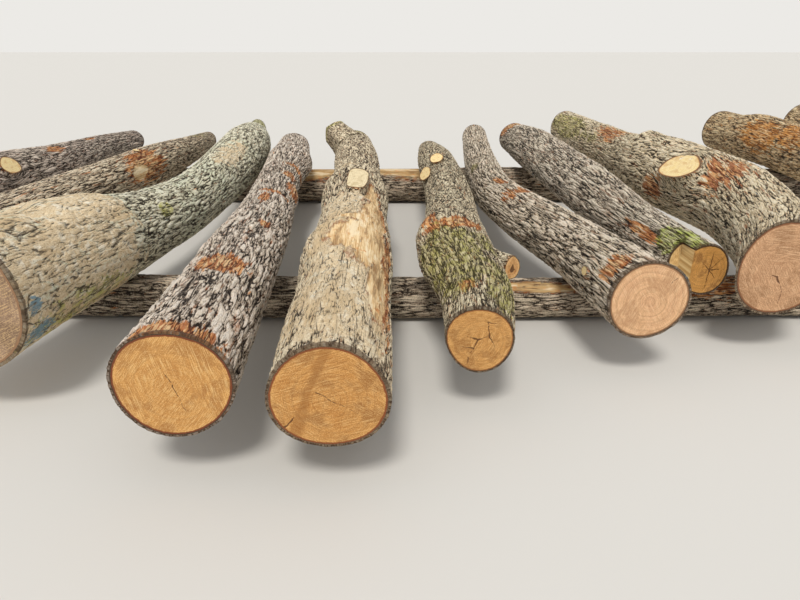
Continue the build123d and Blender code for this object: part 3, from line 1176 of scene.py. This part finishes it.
    def _face_places(
        self,
        local: np.ndarray,
        hearts: np.ndarray,
        radii: np.ndarray,
        count: int,
        columns: int,
        near_share: np.ndarray,
        far_share: np.ndarray,
    ) -> np.ndarray:
        """Place on a sawn face for each vertex: across, share of the radius, and up.

        The far faces are turned by a different angle on each log, so that their cracks differ.
        """
        result = np.zeros((len(local), 3))
        tube = count * columns
        disc = len(near_share)
        parts = (
            (slice(0, tube // 2), 0, None),
            (slice(tube // 2, tube), -1, None),
            (slice(tube, tube + disc), 0, near_share),
            (slice(tube + disc, tube + 2 * disc), -1, far_share),
        )
        for chosen, end, share in parts:
            size = radii[end].mean()
            across = (local[chosen, 1] - hearts[end, 0]) / size
            up = (local[chosen, 2] - hearts[end, 1]) / size
            turn = 2.3 * self.look.bark.seed + self.look.length if end else 0.0
            result[chosen, 0] = across * math.cos(turn) - up * math.sin(turn)
            result[chosen, 2] = across * math.sin(turn) + up * math.cos(turn)
            result[chosen, 1] = 1.0 if share is None else share
        return result

    def branch_stubs(self) -> list[bpy.types.Object]:
        """Make the stub of each sawn branch.

        Returns:
            The finished pieces.
        """
        return [self._stub(branch) for branch in self.look.branches]

    def _stub(self, branch: Branch) -> bpy.types.Object:
        """Make one stub, from inside the log out past its collar to its sawn face."""
        look = self.look
        angle, lean = math.radians(branch.turn), math.radians(branch.lean)
        hearts, radii = self.sections.at(np.array([branch.along]), np.array([angle]))
        radius = float(radii[0, 0])
        outward = np.array([math.sin(lean), math.cos(angle) * math.cos(lean), math.sin(angle) * math.cos(lean)])
        start = np.array([branch.along, *hearts[0]])
        first = np.array([1.0, 0.0, 0.0]) - outward[0] * outward
        first /= np.linalg.norm(first)
        second = np.cross(outward, first)
        bark = radius / math.cos(lean)
        columns = 72
        turns = np.arange(columns) * 2 * math.pi / columns
        sunk = 0.95 * radius - branch.radius * (1 + branch.flare) * abs(math.sin(lean))
        root = min(bark - max(0.05, branch.radius * 0.8), max(0.0, sunk / math.cos(lean)))
        distances = np.linspace(root, bark + branch.reach, 12)
        rise = np.clip((distances - root) / (bark + branch.reach - root), 0, 1)
        widths = 1 + branch.flare * (1 - rise) ** 1.6
        power = 2 / (1 + branch.square)
        cosines = np.sign(np.cos(turns)) * np.abs(np.cos(turns)) ** power
        sines = np.sign(np.sin(turns)) * np.abs(np.sin(turns)) ** power
        wave = 1 + 0.035 * np.sin(3 * turns + branch.along * 7) + 0.02 * np.sin(5 * turns + branch.turn)
        rings = [
            (distance, width * branch.radius * wave) for distance, width in zip(distances, widths)
        ]
        shares = 1 - np.linspace(0, 1, 12)[1:-1]
        local, share_of = [], []
        for distance, reach in rings:
            ahead, across = reach * branch.oval[0] * cosines, reach * branch.oval[1] * sines
            spread = ahead[:, None] * first + across[:, None] * second
            share = (distance - distances[0]) / (distances[-1] - distances[0])
            lift = share * (branch.slant[0] * ahead + branch.slant[1] * across)
            local.append(start + outward * distance + spread + lift[:, None] * outward)
            share_of.append(np.ones(columns))
        edge = local[-1] - (start + outward * distances[-1])
        middle = start + outward * distances[-1]
        inner = start + outward * distances[0]
        near_edge = local[0] - inner
        tube = np.concatenate(local)
        near = np.concatenate([inner + near_edge * s for s in shares] + [inner[None]])
        far = np.concatenate([middle + edge * s for s in shares] + [middle[None]])
        points = np.concatenate([tube, near, far])
        disc_turn = np.append(np.tile(turns, len(shares)), 0.0)
        disc_share = np.append(np.repeat(shares, columns), 0.0)
        turn = np.concatenate([np.tile(turns, len(rings)), disc_turn, disc_turn])
        share = np.concatenate([np.ones(len(tube)), disc_share, disc_share])
        depth = np.concatenate([np.repeat(distances, columns), np.full(2 * len(near), distances[-1])])
        mean = branch.radius * 1.2
        attributes = {cover.value: np.zeros(len(points)) for cover in Cover}
        attributes["torn"] = np.clip(1.25 - (bark + branch.reach - depth) / 0.02, 0, 1) * 0.5
        attributes["moss"] = np.clip(1.4 - (bark + branch.reach - depth) / 0.045, 0, 1) * branch.mossy
        attributes["bark_co"] = np.stack(
            [mean * np.cos(turn) + look.bark.seed + branch.along, mean * np.sin(turn), depth * 0.5], 1
        )
        attributes["relief"] = np.concatenate([np.repeat(np.minimum(1, 1.6 - rise), columns), np.zeros(2 * len(near))])
        attributes["part"] = np.concatenate([np.zeros(len(tube)), np.ones(len(near)), np.full(len(near), 2.0)])
        out = np.cos(turn)[:, None] * first + np.sin(turn)[:, None] * second
        attributes["outward"] = self._model(out) - self._model(np.zeros((1, 3)))
        attributes["face_co"] = np.stack([share * np.cos(turn), share, share * np.sin(turn)], 1)
        flip = look.lie is Lie.STEM
        faces = shell_faces(len(rings), columns, len(shares), not flip)
        faces = [tuple(reversed(f)) for f in faces] if np.dot(np.cross(first, second), outward) > 0 else faces
        piece = make_piece(f"{look.node}_{branch.name}", self._model(points), faces, attributes)
        face = self.finishes.wood(branch.face or look.far_face)
        self.relief.apply(piece, look.bark, (self.finishes.bark(look.bark), face, face), 0.5)
        crease(piece, len(rings), columns)
        return hand_in(piece)


GREY_FACE = FaceFinish(
    "weathered_end", heart="9d846c", sapwood="b3997d", dark="79634f", rim="634735", bark="524134",
    cracks=(Crack((0, 0), (0.7, 0.35), 0.02), Crack((0, 0), (-0.5, 0.6), 0.016)), seed=3.0,
)
KNOT_FACE = FaceFinish(
    "pale_knot", heart="f5df9e", sapwood="f6e7b6", dark="d2a665", bright="f6eac4", rim="b97f46", bark="977452",
    bark_share=0.10, ring_gap=0.03, ring_strength=0.3, seed=5.0,
)

PALE_CUT = FaceFinish(
    "pale_cut", heart="e8d4ab", sapwood="f6e4be", dark="bca272", bright="f6efce", rim="9d7b4f", bark="86714f",
    bark_share=0.07, ring_gap=0.05, ring_strength=0.2, seed=5.5,
)

LOOKS = (
    LogLook(
        "log_1", 4.5,
        BarkFinish("bark_dark", glint="f6e5d2", crest="b8a697", crest_alt="d4c0ad", middle="79685a", furrow="251c15", seed=1.3),
        FaceFinish("face_1", heart="ca975e", seed=1.0, cracks=(Crack((0, 0), (0.5, 0.5)),)),
        GREY_FACE,
        branches=(Branch("sawn_branch", 1.75, 35, 0.088, 0.014, oval=(1.3, 0.9), face=KNOT_FACE),),
        patches=(Patch(Cover.TORN, 2.6, 60, 0.12, 0.06, 0.8), Patch(Cover.TORN, 3.4, 80, 0.10, 0.05, 0.8)),
        columns=132,
    ),
    LogLook(
        "log_2", 4.5,
        BarkFinish("bark_red_brown", glint="f6e6cb", crest="d1ba9b", crest_alt="ead4b3", middle="9a846a", furrow="2f241b", flecks=0.7, seed=2.1),
        FaceFinish("face_2", seed=2.0, cracks=(Crack((0, 0), (-0.5, 0.4)),)),
        GREY_FACE,
        branches=(Branch("small_knot", 2.34, 76, 0.032, 0.008, face=KNOT_FACE),),
        patches=(
            Patch(Cover.TORN, 2.30, 28, 0.26, 0.16, 1.0),
            Patch(Cover.BARE, 2.15, 12, 0.12, 0.07, 0.9),
            Patch(Cover.MOSS, 4.0, 90, 0.5, 0.2, 0.55),
        ),
        columns=132,
    ),
    LogLook(
        "log_3", 6.2,
        BarkFinish(
            "bark_muddy", moss="c4be5c", lichen_tint="dae5c3", glint="fdf8e2", crest="ece5c5", crest_alt="f6edcf", middle="bdb393", furrow="332c21", lichen=0.8,
            cell=0.028, stretch=0.24, depth=0.013, flecks=0.15, seed=3.7,
        ),
        FaceFinish(
            "face_3", heart="9f826b", sapwood="c4a486", dark="7a614d", rim="977456", bark="75614d",
            bark_share=0.06, seed=3.0, cracks=(Crack((0, 0), (0.4, -0.6)), Crack((0, 0), (-0.6, -0.2))),
        ),
        GREY_FACE,
        patches=(
            Patch(Cover.MUD, 0.35, 60, 0.66, 0.9, 1.0),
            Patch(Cover.MUD, 0.75, 80, 0.30, 0.45, 1.0),
            Patch(Cover.MOSS, 1.42, 33, 0.08, 0.05, 1.0),
            Patch(Cover.MUD, 2.94, 60, 0.50, 0.14, 0.6),
            Patch(Cover.MOSS, 5.6, 85, 0.7, 0.25, 0.9),
            Patch(Cover.PAINT, 0.08, 352, 0.05, 0.03, 0.8),
            Patch(Cover.PAINT, 0.14, 325, 0.10, 0.04, 0.8),
            Patch(Cover.MOSS, 0.45, 325, 0.6, 0.12, 0.55),
        ),
        swells=(
            Swell(0.30, 62, 0.10, 0.07, 0.018), Swell(0.52, 48, 0.12, 0.05, 0.016), Swell(0.62, 84, 0.10, 0.08, 0.014),
            Swell(0.42, 82, 0.08, 0.05, -0.010), Swell(0.80, 55, 0.10, 0.06, 0.012),
        ),
        ledges=(Ledge(1.02, 70, 60, 0.010, 0.20, -0.06),),
        columns=168,
    ),
    LogLook(
        "log_4", 5.0,
        BarkFinish(
            "bark_light_grey", glint="f6eadb", crest="e0cdb8", crest_alt="f6e3ce", middle="a6927d", furrow="271d16",
            cell=0.023, stretch=0.17, depth=0.019, flecks=0.45, seed=4.9,
        ),
        FaceFinish(
            "face_4", bright="f6d496", heart="d39954", sapwood="eab36a", dark="a9723a", rim="794026", seed=4.0, streak=0.9,
            cracks=(Crack((0.0, 0.05), (-0.18, 0.42), 0.005), Crack((0.0, 0.05), (0.18, -0.55), 0.007)),
        ),
        GREY_FACE,
        patches=(
            Patch(Cover.TORN, 0.04, 100, 0.06, 0.09, 1.0),
            Patch(Cover.TORN, 0.04, 62, 0.07, 0.12, 0.8),
            Patch(Cover.TORN, 0.77, 80, 0.12, 0.11, 1.0),
            Patch(Cover.TORN, 1.51, 55, 0.05, 0.04, 0.9),
            Patch(Cover.TORN, 2.13, 84, 0.16, 0.04, 0.9),
            Patch(Cover.TORN, 2.35, 68, 0.05, 0.14, 0.8),
            Patch(Cover.TORN, 3.11, 42, 0.08, 0.08, 0.9),
            Patch(Cover.TORN, 2.75, 20, 0.20, 0.08, 0.9),
            Patch(Cover.TORN, 3.39, 25, 0.06, 0.16, 0.9),
        ),
        swells=(Swell(3.90, 5, 0.20, 0.12, 0.035), Swell(2.75, 8, 0.18, 0.10, 0.028), Swell(1.30, 160, 0.30, 0.14, 0.012)),
        ledges=(Ledge(2.90, 75, 70, 0.016, 0.16, -0.1), Ledge(3.42, 20, 60, 0.022, 0.14), Ledge(4.20, 90, 80, 0.012)),
    ),
    LogLook(
        "log_5", 4.95,
        BarkFinish(
            "bark_sawdust", moss_dark="746e3e", moss="d4cc8c", glint="f8e9ca", crest="e5d1ae", crest_alt="f6e0bd", middle="a99274", furrow="33271c",
            cell=0.024, stretch=0.2, depth=0.015, flecks=0.4, seed=5.3,
        ),
        FaceFinish(
            "face_5", bright="f6cd8d", heart="c98c47", sapwood="e2ab65", dark="996531", rim="864b2a", bark="897056", seed=5.0,
            streak=-0.6, cracks=(Crack((-0.95, -0.75), (-0.55, -0.35), 0.03), Crack((-0.2, 0.1), (0.5, -0.3), 0.006)),
            stains=(Crack((0.05, 1.0), (-0.30, 0.15), 0.05), Crack((-0.62, -0.80), (-0.28, 0.20), 0.07)),
        ),
        GREY_FACE,
        branches=(
            Branch(
                "saw_cut", 2.28, 83, 0.074, 0.040, oval=(3.0, 1.0), square=2.4, flare=0.15,
                slant=(0.10, 0.0), face=PALE_CUT,
            ),
            Branch("fork", 4.58, 142, 0.142, 0.125, lean=40, oval=(1.1, 1.0), square=0.36, mossy=0.9, face=GREY_FACE),
        ),
        patches=(
            Patch(Cover.MUD, 0.55, 92, 0.55, 0.17, 1.0),
            Patch(Cover.MUD, 0.34, 120, 0.36, 0.26, 0.58),
            Patch(Cover.MUD, 0.30, 50, 0.35, 0.14, 0.62),
            Patch(Cover.MUD, 1.10, 110, 0.40, 0.18, 0.75),
            Patch(Cover.BARE, 1.15, 60, 0.36, 0.12, 0.95),
            Patch(Cover.BARE, 0.69, 36, 0.34, 0.07, 0.95),
            Patch(Cover.BARE, 1.65, 50, 0.30, 0.09, 0.9),
            Patch(Cover.BARE, 1.12, 92, 0.16, 0.09, 0.85),
            Patch(Cover.BARE, 1.42, 88, 0.06, 0.12, 0.95),
            Patch(Cover.BARE, 2.10, 52, 0.24, 0.07, 0.85),
            Patch(Cover.MUD, 1.80, 90, 0.45, 0.22, 0.7),
            Patch(Cover.MUD, 2.90, 110, 0.35, 0.15, 0.55),
            Patch(Cover.TORN, 0.85, 22, 0.60, 0.045, 1.0),
            Patch(Cover.TORN, 1.75, 36, 0.35, 0.045, 1.0),
            Patch(Cover.TORN, 2.08, 95, 0.05, 0.24, 0.9),
            Patch(Cover.MOSS, 4.90, 80, 0.07, 0.12, 1.0),
            Patch(Cover.TORN, 1.00, 100, 0.04, 0.06, 0.9),
        ),
        swells=(Swell(0.95, 75, 0.30, 0.14, 0.014), Swell(1.25, 140, 0.20, 0.12, 0.016), Swell(0.55, 60, 0.16, 0.08, -0.010)),
        ledges=(
            Ledge(1.45, 88, 75, 0.026, 0.20, -0.30), Ledge(2.01, 95, 80, 0.024, 0.14, 0.10),
            Ledge(2.74, 95, 95, 0.014, 0.30, -0.08), Ledge(0.93, 100, 30, 0.014, 0.10), Ledge(3.35, 80, 60, 0.012),
        ),
        read_to=4.42,
    ),
    LogLook(
        "log_6", 4.35,
        BarkFinish(
            "bark_mossy", moss_dark="4c4620", moss="b3ab58", glint="f6eacb", crest="c4af8e", crest_alt="e0cca9", middle="8a775c", furrow="281f15",
            cell=0.018, stretch=0.21, depth=0.015, flecks=0.5, seed=6.1,
        ),
        FaceFinish(
            "face_6", bright="f6cd8c", heart="cb9352", sapwood="e5ad65", dark="996531", rim="976338", bark="55432d", seed=6.0, streak=0.2,
            cracks=(
                Crack((-0.05, 0.0), (-0.30, -0.55), 0.020), Crack((-0.30, -0.55), (-0.35, -0.85), 0.014),
                Crack((-0.05, 0.0), (0.25, 0.15), 0.018), Crack((0.25, 0.15), (0.45, -0.25), 0.018),
                Crack((0.25, 0.15), (0.20, 0.60), 0.018), Crack((-0.05, 0.0), (-0.40, 0.15), 0.018),
                Crack((-0.15, -0.25), (-0.55, -0.2), 0.014), Crack((0.20, 0.55), (0.50, 0.50), 0.014),
            ),
        ),
        GREY_FACE,
        branches=(
            Branch(
                "side_branch", 0.90, 8, 0.066, 0.082, lean=-48, flare=0.5,
                face=FaceFinish(
                    "rotten_branch", heart="b8743a", sapwood="f6cc90", dark="a26a34", bright="f6c98c", rim="ecbc7b",
                    bark_share=0.12, ring_strength=0.3, ring_gap=0.05, seed=7.0, rim_from=0.62,
                    cracks=(Crack((-0.05, 0.1), (0.12, -0.30), 0.24), Crack((0.0, 0.1), (0.4, 0.3), 0.08)),
                ),
            ),
            Branch("left_knot", 2.66, 144, 0.062, 0.040, lean=-30, face=KNOT_FACE),
            Branch("top_knot", 2.90, 107, 0.060, 0.030, lean=-30, face=KNOT_FACE),
        ),
        patches=(
            Patch(Cover.MOSS, 0.55, 125, 0.40, 0.20, 0.85),
            Patch(Cover.MOSS, 0.25, 50, 0.25, 0.12, 0.8),
            Patch(Cover.MOSS, 0.70, 60, 0.20, 0.12, 0.6),
            Patch(Cover.TORN, 0.93, 93, 0.07, 0.16, 1.0),
            Patch(Cover.TORN, 0.20, 110, 0.06, 0.05, 0.8),
            Patch(Cover.TORN, 1.08, 133, 0.10, 0.05, 0.8),
        ),
        swells=(Swell(0.76, 178, 0.22, 0.09, 0.040), Swell(1.02, 160, 0.12, 0.08, 0.016)),
        columns=144,
    ),
    LogLook(
        "log_7", 4.85,
        BarkFinish(
            "bark_ridged", glint="f8ead6", crest="dfcaaf", crest_alt="f5e2c7", middle="a69377", furrow="261c15",
            cell=0.019, stretch=0.12, depth=0.018, flecks=0.3, seed=7.9,
        ),
        FaceFinish(
            "face_7", bright="f6d5ab", heart="e2b186", sapwood="f6ca98", dark="b88861", rim="976e4d", bark="75614b",
            bark_share=0.085, ring_strength=0.6, ring_gap=0.03, seed=7.5, streak=1.2,
            cracks=(Crack((0.45, 0.45), (0.62, 0.62), 0.012),),
        ),
        GREY_FACE,
        branches=(Branch("small_knot", 0.29, 166, 0.028, 0.008, oval=(1.5, 0.9), face=KNOT_FACE),),
        patches=(
            Patch(Cover.TORN, 0.12, 128, 0.07, 0.09, 1.0),
            Patch(Cover.TORN, 1.60, 105, 0.10, 0.12, 0.75),
            Patch(Cover.TORN, 1.94, 103, 0.10, 0.05, 0.8),
            Patch(Cover.MOSS, 2.68, 140, 0.10, 0.06, 1.0),
            Patch(Cover.PAINT, 0.02, 40, 0.03, 0.03, 1.0),
        ),
    ),
    LogLook(
        "log_8", 4.1,
        BarkFinish(
            "bark_brown_grey", glint="f6ead5", crest="c5b39d", crest_alt="dfccb4", middle="8a7862", furrow="201812", moss="c4d252",
            cell=0.020, stretch=0.12, depth=0.017, seed=8.7,
        ),
        # face_8's heart and sapwood are partly painted light, lifted because the face stands in shadow.
        FaceFinish(
            "face_8", heart="d39a4f", sapwood="e5ad5f", dark="87592d", bright="dfa965", rim="452d1b", seed=8.0,
            streak=0.4, hinge=-0.5,
            cracks=(
                Crack((0.2, 0.0), (0.80, 0.05), 0.022), Crack((0.2, 0.0), (0.25, 0.80), 0.022),
                Crack((0.2, 0.0), (0.15, -0.8), 0.022), Crack((0.2, 0.0), (-0.2, 0.4), 0.018),
                Crack((0.2, 0.0), (0.70, 0.55), 0.018), Crack((0.2, 0.0), (0.65, -0.55), 0.018),
            ),
        ),
        GREY_FACE,
        patches=(
            Patch(Cover.MOSS, 0.14, 122, 0.20, 0.14, 1.0),
            Patch(Cover.TORN, 4.0, 90, 0.15, 0.25, 1.0),
            Patch(Cover.TORN, 0.45, 150, 0.2, 0.05, 0.8),
        ),
        columns=144, read_from=0.17, step_depth=0.150,
    ),
    LogLook(
        "log_9", 5.05,
        # bark_warm's pale middle and crests are partly painted light, lifted so that the flank turned away from the
        # lamp still renders bright.
        BarkFinish(
            "bark_warm", glint="fdf0d4", crest="ecd6af", crest_alt="f6e1bb", middle="d4bb93", furrow="2a2016", moss="c0b660",
            torn="b36c42", cell=0.021, stretch=0.13, depth=0.018, flecks=0.6, seed=9.4,
        ),
        FaceFinish(
            "face_9", bright="f3cba2", heart="c79972", sapwood="ddae84", dark="976e4b", rim="885a3c", bark="745c47", seed=9.0, streak=-1.0,
            cracks=(Crack((-0.10, -0.16), (-0.38, -0.10), 0.012), Crack((-0.10, -0.16), (0.06, -0.48), 0.016), Crack((0.06, -0.48), (0.05, -0.8), 0.010)),
        ),
        GREY_FACE,
        branches=(Branch("large_cut", 1.57, 145, 0.132, 0.030, oval=(1.5, 1.0), slant=(0.10, -0.42), flare=0.5, face=KNOT_FACE),),
        swells=(Swell(1.62, 152, 0.28, 0.20, 0.008), Swell(2.55, 95, 0.10, 0.09, 0.035), Swell(2.35, 150, 0.22, 0.2, -0.012)),
        ledges=(Ledge(1.98, 195, 42, 0.034, 0.30, 0.12), Ledge(1.05, 120, 60, 0.014, 0.2), Ledge(3.75, 120, 70, 0.014)),
        patches=(
            Patch(Cover.MOSS, 4.53, 148, 0.55, 0.20, 0.9),
            Patch(Cover.MOSS, 3.8, 150, 0.5, 0.12, 0.5),
            Patch(Cover.TORN, 3.36, 115, 0.35, 0.12, 0.8),
            Patch(Cover.TORN, 1.21, 122, 0.26, 0.16, 0.75),
            Patch(Cover.TORN, 1.85, 190, 0.15, 0.08, 0.8),
        ),
        columns=168,
    ),
    LogLook(
        "log_10", 4.5,
        BarkFinish("bark_ochre", torn_pale="ecab5c", torn="c07b34", glint="f6e2ba", crest="d8b481", crest_alt="f0cd99", middle="97744f", furrow="2d2015", flecks=0.9, seed=10.2),
        FaceFinish("face_10", seed=10.0, cracks=(Crack((0, 0), (0.5, 0.3)),)),
        GREY_FACE,
        patches=(Patch(Cover.TORN, 3.42, 155, 0.3, 0.2, 0.9), Patch(Cover.TORN, 2.9, 130, 0.3, 0.2, 0.8)),
        columns=132,
    ),
    LogLook(
        "log_11", 5.5,
        BarkFinish("bark_ochre_2", torn_pale="ecab5c", torn="c07b34", glint="f6e2ba", crest="d8b481", crest_alt="f0cd99", middle="97744f", furrow="2d2015", flecks=0.9, seed=11.6),
        FaceFinish("face_11", seed=11.0, cracks=(Crack((0, 0), (-0.5, 0.3)),)),
        GREY_FACE,
        columns=132,
    ),
)

BEARER_BARK = BarkFinish(
    "bark_weathered", glint="ecdac0", crest="a9957f", crest_alt="c6b198", middle="746352", furrow="282018",
    cell=0.024, stretch=0.16, depth=0.012, flecks=0.2, wood="c4a97b", seed=12.3,
)
BEARER_LOOKS = tuple(
    LogLook(
        node, length, BEARER_BARK, GREY_FACE, GREY_FACE, lie=Lie.BEARER, columns=88, slot="old_wood",
        patches=patches,
    )
    for node, length, patches in (
        ("front_bearer_left", 5.5, (Patch(Cover.BARE, 1.4, 110, 0.6, 0.08, 0.6), Patch(Cover.BARE, 4.85, 125, 0.4, 0.06, 0.6))),
        ("front_bearer_right", 4.5, (Patch(Cover.TORN, 0.3, 120, 0.4, 0.1, 0.8),)),
        ("rear_bearer_left", 5.0, (Patch(Cover.BARE, 3.0, 85, 0.6, 0.20, 0.9), Patch(Cover.BARE, 4.05, 85, 0.5, 0.20, 0.9))),
        ("rear_bearer_right", 5.0, (Patch(Cover.BARE, 1.0, 90, 0.5, 0.12, 0.6),)),
    )
)


@dataclass
class Studio:
    """A pale floor, soft light and the photograph's camera."""

    floor_size: float = 300.0
    floor_colour: str = "d4d1cb"
    sky_light: float = 0.68
    sun_light: float = 1.95

    def build(self) -> None:
        """Set up the floor, the light and the camera."""
        self._floor()
        self._light()
        self._camera()

    def _floor(self) -> None:
        """Lay the floor."""
        half = self.floor_size / 2
        corners = [(-half, -half, 0), (half, -half, 0), (half, half, 0), (-half, half, 0)]
        mesh = bpy.data.meshes.new("studio_floor")
        mesh.from_pydata(corners, [], [(0, 1, 2, 3)])
        floor = bpy.data.objects.new("studio_floor", mesh)
        bpy.context.scene.collection.objects.link(floor)
        material = bpy.data.materials.new("floor_finish")
        material.use_nodes = True
        shader = material.node_tree.nodes["Principled BSDF"]
        shader.inputs["Base Color"].default_value = colour(self.floor_colour)
        shader.inputs["Roughness"].default_value = 0.9
        mesh.materials.append(material)

    def _light(self) -> None:
        """Light the scene with a pale sky and one wide lamp."""
        world = bpy.data.worlds.new("studio")
        world.use_nodes = True
        sketch = Sketch(world.node_tree)
        light = world.node_tree.nodes["Background"]
        light.inputs["Color"].default_value = (0.95, 0.97, 1.0, 1.0)
        light.inputs["Strength"].default_value = self.sky_light
        seen = sketch.node("ShaderNodeBackground")
        seen.inputs["Color"].default_value = colour("eceae6")
        seen.inputs["Strength"].default_value = 1.0
        ray = sketch.node("ShaderNodeLightPath")
        shown = sketch.node("ShaderNodeMixShader")
        sketch.feed(shown.inputs[0], sketch.maths("MAXIMUM", ray.outputs["Is Camera Ray"], ray.outputs["Is Glossy Ray"]))
        sketch.feed(shown.inputs[1], light.outputs[0])
        sketch.feed(shown.inputs[2], seen.outputs[0])
        sketch.feed(world.node_tree.nodes["World Output"].inputs[0], shown.outputs[0])
        bpy.context.scene.world = world
        lamp = bpy.data.lights.new("soft_lamp", "SUN")
        lamp.energy = self.sun_light
        lamp.angle = math.radians(15)
        lamp.color = (1.0, 0.97, 0.92)
        holder = bpy.data.objects.new("soft_lamp", lamp)
        holder.rotation_euler = (math.radians(32), 0, math.radians(-8))
        bpy.context.scene.collection.objects.link(holder)

    def _camera(self) -> None:
        """Put the camera where the photograph was taken."""
        camera = bpy.data.cameras.new("photo_camera")
        camera.lens = LENS
        camera.clip_end = 800
        holder = bpy.data.objects.new("photo_camera", camera)
        holder.location = CAMERA_PLACE
        holder.rotation_euler = (math.radians(90 - CAMERA_TILT_DOWN), 0, 0)
        bpy.context.scene.collection.objects.link(holder)
        bpy.context.scene.camera = holder
        bpy.context.scene.view_settings.view_transform = "Standard"


def main() -> None:
    """Build every log and the studio."""
    logging.basicConfig(level=logging.INFO, format="%(message)s")
    relief = ReliefTree()
    finishes = Finishes()
    for look in BEARER_LOOKS + LOOKS:
        timber = Timber(look, relief, finishes)
        timber.build()
        timber.branch_stubs()
    Studio().build()


if __name__ == "__main__":
    main()
